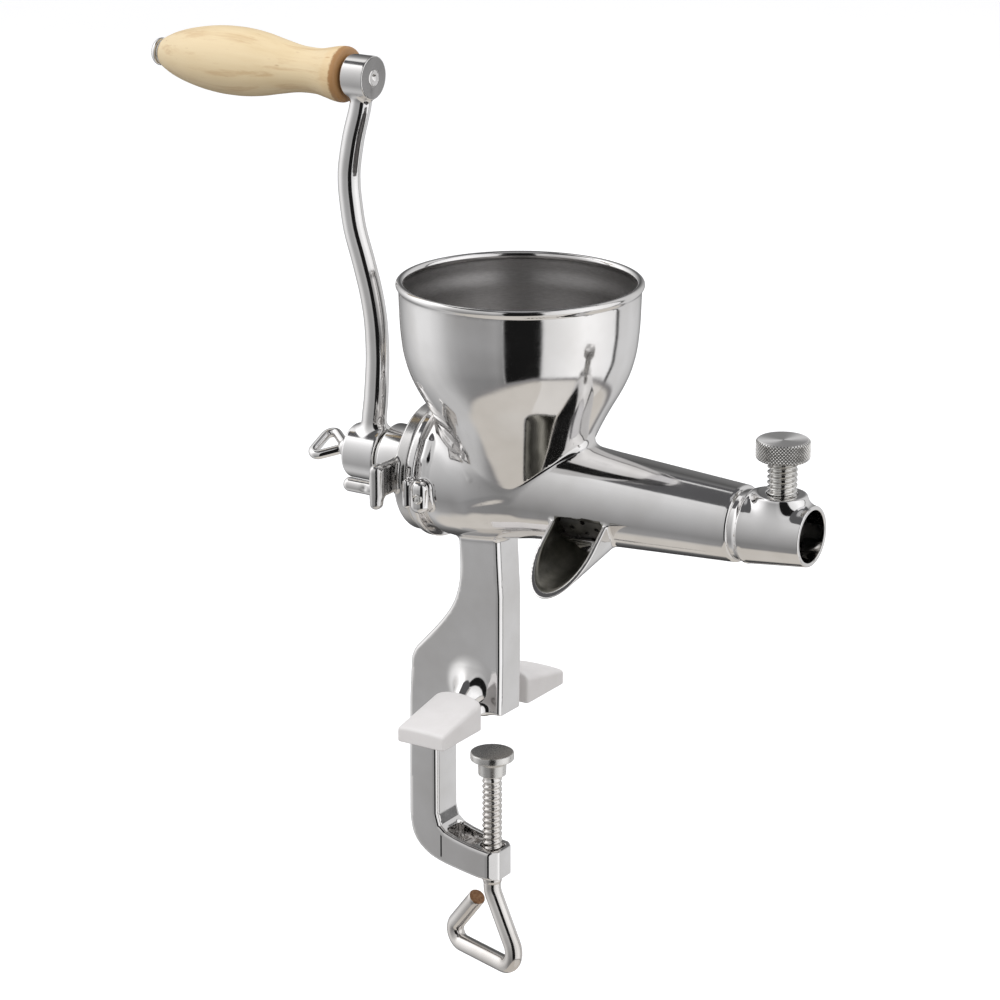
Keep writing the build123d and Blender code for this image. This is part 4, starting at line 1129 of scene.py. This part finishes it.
# the cut end of the clamp handle, left raw
m, nt, b = nodes_of("raw_cut")
v = coords(nt)
nt.links.new(ramp(nt, noise(nt, 500, 4, 0.6, v), [(0.3, (0.16, 0.075, 0.035)), (0.6, (0.33, 0.18, 0.09)), (0.9, (0.42, 0.30, 0.20))]), b.inputs["Base Color"])
b.inputs["Metallic"].default_value = 0.6
nt.links.new(rng(nt, noise(nt, 900, 3, 0.6, v), 0.3, 0.8, 0.4, 0.65), b.inputs["Roughness"])
me = clamp_screw.data
me.materials.append(m)
end, prev = np.array(hp(-12.6, -103.5)), np.array(hp(-25.0, -118.0))
dirn = (end - prev) / np.linalg.norm(end - prev)
cen = np.zeros(len(me.polygons) * 3, np.float32)
nor = np.zeros(len(me.polygons) * 3, np.float32)
me.polygons.foreach_get("center", cen)
me.polygons.foreach_get("normal", nor)
cen, nor = cen.reshape(-1, 3) / MM, nor.reshape(-1, 3)
me.polygons.foreach_set("material_index", ((np.linalg.norm(cen - end, axis=1) < 5.5) & (nor @ dirn > 0.6)).astype(np.int32))
me.update()

# the body's steel is satin inside the bowl and the spout, its colour there darkened as painted shade
bodymat = steel("body_steel", stretch=(0.12, 1, 1))
nt = bodymat.node_tree
b = nt.nodes["Principled BSDF"]
sep = nt.nodes.new("ShaderNodeSeparateXYZ")
nt.links.new(coords(nt, (1000.0, 1000.0, 1000.0)), sep.inputs[0])
bx, by, bz = sep.outputs
zr = math_node(nt, "SUBTRACT", bz, AX)
dxh = math_node(nt, "SUBTRACT", bx, HX)
rad_ = math_node(nt, "SQRT", math_node(nt, "ADD", math_node(nt, "MULTIPLY", dxh, dxh), math_node(nt, "MULTIPLY", by, by)))
stops = []
for zq in (0, 8, 16, 24, 32, 40, 48, 56, 64, 72, 84, 100):
    rq = (float(np.atleast_1d(hop_out.at(np.array([float(min(zq, 97))])))[0]) - 1.9) / 60.0
    stops.append((zq / 100.0, (rq, rq, rq)))
lim_ = math_node(nt, "MULTIPLY", ramp(nt, math_node(nt, "MULTIPLY", zr, 0.01), stops), 60.0)
mask_b = rng(nt, math_node(nt, "SUBTRACT", lim_, rad_), 0.0, 0.25, 0.0, 1.0)
mask_b = math_node(nt, "MULTIPLY", mask_b, rng(nt, zr, 4.0, 5.0, 0.0, 1.0))
mask_b = math_node(nt, "MULTIPLY", mask_b, rng(nt, zr, 96.4, 96.9, 1.0, 0.0))
zc_ = math_node(nt, "ADD", math_node(nt, "MULTIPLY", by, 0.205), -9.0)
dzr = math_node(nt, "MINIMUM", math_node(nt, "SUBTRACT", zr, zc_), 0.0)
dxs = math_node(nt, "SUBTRACT", bx, SX)
ringd = math_node(nt, "SQRT", math_node(nt, "ADD", math_node(nt, "MULTIPLY", dxs, dxs), math_node(nt, "MULTIPLY", dzr, dzr)))
mask_s = rng(nt, ringd, 12.9, 13.2, 1.0, 0.0)
mask_s = math_node(nt, "MULTIPLY", mask_s, rng(nt, zr, -5.0, -6.0, 0.0, 1.0))
mask_s = math_node(nt, "MULTIPLY", mask_s, rng(nt, by, -13.0, -12.0, 1.0, 0.0))
mask_s = math_node(nt, "MULTIPLY", mask_s, rng(nt, by, -61.0, -60.5, 0.0, 1.0))
# painted shade: the bowl's inside takes a darker steel colour (its satin roughness is real), the spout's trough
# under the barrel a near-black one
bowl_inside_satin_shade = ramp(nt, noise(nt, 300, 3, 0.6, coords(nt, (1, 1, 6))), [(0.3, (0.44, 0.43, 0.425)), (0.75, (0.54, 0.53, 0.525))])
spout_inside_shade = ramp(nt, noise(nt, 220, 4, 0.6, coords(nt)), [(0.3, (0.17, 0.165, 0.14)), (0.75, (0.27, 0.26, 0.23))])
c0 = b.inputs["Base Color"].links[0].from_socket
r0_ = b.inputs["Roughness"].links[0].from_socket
nt.links.new(mix(nt, mask_s, mix(nt, mask_b, c0, bowl_inside_satin_shade), spout_inside_shade), b.inputs["Base Color"])
sat = noise(nt, 500, 3, 0.6, coords(nt, (1, 1, 8)))
both_m = math_node(nt, "MAXIMUM", mask_b, mask_s)
nt.links.new(math_node(nt, "ADD", math_node(nt, "MULTIPLY", r0_, math_node(nt, "SUBTRACT", 1.0, both_m)),
                       math_node(nt, "MULTIPLY", both_m, rng(nt, sat, 0.3, 0.8, 0.28, 0.42))), b.inputs["Roughness"])
me = body.data
me.materials.clear()
me.materials.append(bodymat)
me.materials.append(dark_steel)
# faces inside the bore take the darker steel: painted shade inside the barrel
cen = np.zeros(len(me.polygons) * 3, np.float32)
me.polygons.foreach_get("center", cen)
cen = cen.reshape(-1, 3) / MM
rr_ = np.hypot(cen[:, 1], cen[:, 2] - AX)
me.polygons.foreach_set("material_index", ((rr_ < bore.at(cen[:, 0]) + 0.6) & (cen[:, 0] > 0.5)).astype(np.int32))
me.update()

# ------------------------------------------------------------------ camera
p, yw = math.radians(17.8), math.radians(32.7)
W = Vector((-math.sin(yw), math.cos(yw), 0))
Fw = W * math.cos(p) - Vector((0, 0, 1)) * math.sin(p)
cam = bpy.data.objects.new("cam", bpy.data.cameras.new("cam"))
bpy.context.scene.collection.objects.link(cam)
cam.location = (0.9143, -1.3749, 0.6368)
cam.rotation_mode = "QUATERNION"
cam.rotation_quaternion = Fw.to_track_quat("-Z", "Y")
cam.data.sensor_width = 36
cam.data.lens = 127.2
cam.data.clip_start, cam.data.clip_end = 0.05, 50
bpy.context.scene.camera = cam

# ------------------------------------------------------------------ floor
import bmesh
bm = bmesh.new()
bmesh.ops.create_grid(bm, x_segments=2, y_segments=2, size=12.0)
fm = bpy.data.meshes.new("floor")
bm.to_mesh(fm)
bm.free()
floor = bpy.data.objects.new("floor", fm)
bpy.context.scene.collection.objects.link(floor)
floor.location = (0, 0, cad_lo[2] - 0.036)     # room for the clamp screw wound right out
m, nt, b = nodes_of("floor_pale")
nt.links.new(ramp(nt, noise(nt, 2.0, 2, 0.5, coords(nt)), [(0.2, (0.86, 0.86, 0.87)), (0.9, (0.90, 0.90, 0.90))]), b.inputs["Base Color"])
b.inputs["Roughness"].default_value = 0.8
b.inputs["Specular IOR Level"].default_value = 0.1
b.inputs["Emission Color"].default_value = (1, 1, 1, 1)
b.inputs["Emission Strength"].default_value = 0.22
fm.materials.append(m)
floor.visible_glossy = False
floor.visible_diffuse = False

# ------------------------------------------------------------------ studio light
world = bpy.data.worlds.new("studio")
bpy.context.scene.world = world
world.use_nodes = True
nt = world.node_tree
bg = nt.nodes["Background"]
tc = nt.nodes.new("ShaderNodeTexCoord")
sp = nt.nodes.new("ShaderNodeSeparateXYZ")
nt.links.new(tc.outputs["Generated"], sp.inputs[0])
dx, dy, dz = sp.outputs
CAZ = -57.6     # direction of the dark gap between the softboxes
az = math_node(nt, "MULTIPLY", math_node(nt, "ARCTAN2", dy, dx), 180 / math.pi)
a = math_node(nt, "WRAP", math_node(nt, "SUBTRACT", az, CAZ), 180.0, -180.0)
e = math_node(nt, "MULTIPLY", math_node(nt, "ARCSINE", dz), 180 / math.pi)


def ss(x, lo, hi):
    """0 below lo, 1 above hi, smooth between; falling if lo > hi."""
    n = nt.nodes.new("ShaderNodeMapRange")
    n.interpolation_type = "SMOOTHSTEP"
    up = lo < hi
    n.inputs["From Min"].default_value = lo if up else hi
    n.inputs["From Max"].default_value = hi if up else lo
    n.inputs["To Min"].default_value = 0.0 if up else 1.0
    n.inputs["To Max"].default_value = 1.0 if up else 0.0
    nt.links.new(x, n.inputs["Value"])
    return n.outputs["Result"]


def both(*f):
    out = f[0]
    for g in f[1:]:
        out = math_node(nt, "MULTIPLY", out, g)
    return out


def window(x, lo, hi, soft):
    return both(ss(x, lo - soft, lo + soft), ss(x, hi + soft, hi - soft))


AZR = [(-180, .10), (-166, .28), (-156, .56), (-140, .95), (-115, 1.5), (-97, 1.45), (-85, 1.2), (-74, .88), (-63, .70), (-53, .64),
       (-44, .62), (-34, .60), (-24, .66), (-17, .55), (-15, .010), (19.5, .012), (23, .88), (36, .97), (46, 1.05), (60, 1.20), (72, 1.20),
       (88, 1.09), (103, .97), (105, .10), (108, .10), (110, .73), (134, .73), (152, .62), (167, .30), (180, .10)]
horizon = ramp(nt, math_node(nt, "ADD", math_node(nt, "DIVIDE", a, 360.0), 0.5),
               [((q + 180) / 360.0, (v_ / 1.6, v_ / 1.6, v_ / 1.6 * 1.008)) for q, v_ in AZR])
left = ss(a, -16.5, -17.5)
grad_l = math_node(nt, "MINIMUM", math_node(nt, "MAXIMUM", math_node(nt, "ADD", math_node(nt, "MULTIPLY", e, 0.0098), 0.79), 0.42), 1.15)
gain = math_node(nt, "MULTIPLY", math_node(nt, "ADD", math_node(nt, "MULTIPLY", left, grad_l), math_node(nt, "SUBTRACT", 1.0, left)), 1.6)
gc = nt.nodes.new("ShaderNodeCombineXYZ")
for k in range(3):
    nt.links.new(gain, gc.inputs[k])
layer = mix(nt, 1.0, horizon, gc.outputs[0], "MULTIPLY")
# edge of the table and the things below it, sloping down to the left
eb = math_node(nt, "MINIMUM", math_node(nt, "MAXIMUM", math_node(nt, "ADD", math_node(nt, "MULTIPLY", a, 0.2), -38.0), -56.0), -35.0)
de = math_node(nt, "SUBTRACT", e, eb)
for colr, f in (
        ((0.26, 0.255, 0.26), both(window(de, -3.4, 0.6, 1.6), ss(a, -95, -40))),
        ((0.69, 0.655, 0.61), ss(de, -0.5, -6.0)),
        ((0.80, 0.775, 0.745), both(ss(de, -1.0, -5.0), window(a, 24, 108, 1.0))),
        ((0.70, 0.67, 0.63), ss(e, -66, -74)),
        ((0.11, 0.11, 0.115), ss(e, 50, 53)),
        ((1.05, 1.05, 1.05), both(window(a, -162, -127, 2), window(e, 50, 62, 1.5))),
        ((0.85, 0.85, 0.87), both(window(a, 40, 120, 4), window(e, 52, 68, 2))),
        ((0.50, 0.50, 0.51), ss(e, 72, 80)),
):
    layer = mix(nt, f, layer, colr)
lp = nt.nodes.new("ShaderNodeLightPath")
soft = mix(nt, ss(e, -30, 25), (0.36, 0.345, 0.33), (0.78, 0.78, 0.79))     # what the matt surfaces gather
seen = mix(nt, lp.outputs["Is Diffuse Ray"], layer, soft)
final = mix(nt, lp.outputs["Is Camera Ray"], seen, (0.93, 0.93, 0.93))
nt.links.new(final, bg.inputs["Color"])
bg.inputs["Strength"].default_value = 1.0


def area(name, loc, target, size, power, color=(1, 1, 1)):
    L = bpy.data.lights.new(name, "AREA")
    L.shape = "RECTANGLE"
    L.size, L.size_y = size
    L.energy = power
    L.color = color
    o = bpy.data.objects.new(name, L)
    bpy.context.scene.collection.objects.link(o)
    o.location = loc
    o.rotation_mode = "QUATERNION"
    o.rotation_quaternion = (Vector(target) - Vector(loc)).to_track_quat("-Z", "Y")
    o.visible_glossy = False
    o.visible_camera = False
    return o


area("key", (-1.1, -1.3, 1.9), (0.04, 0, 0.1), (1.4, 1.4), 20)
area("fill", (1.9, -0.9, 1.3), (0.04, 0, 0.1), (1.6, 1.6), 12)
area("back", (0.4, 1.9, 1.7), (0.04, 0, 0.1), (2.0, 1.4), 14)
bpy.context.scene.view_settings.view_transform = "Standard"
bpy.context.scene.view_settings.look = "None"
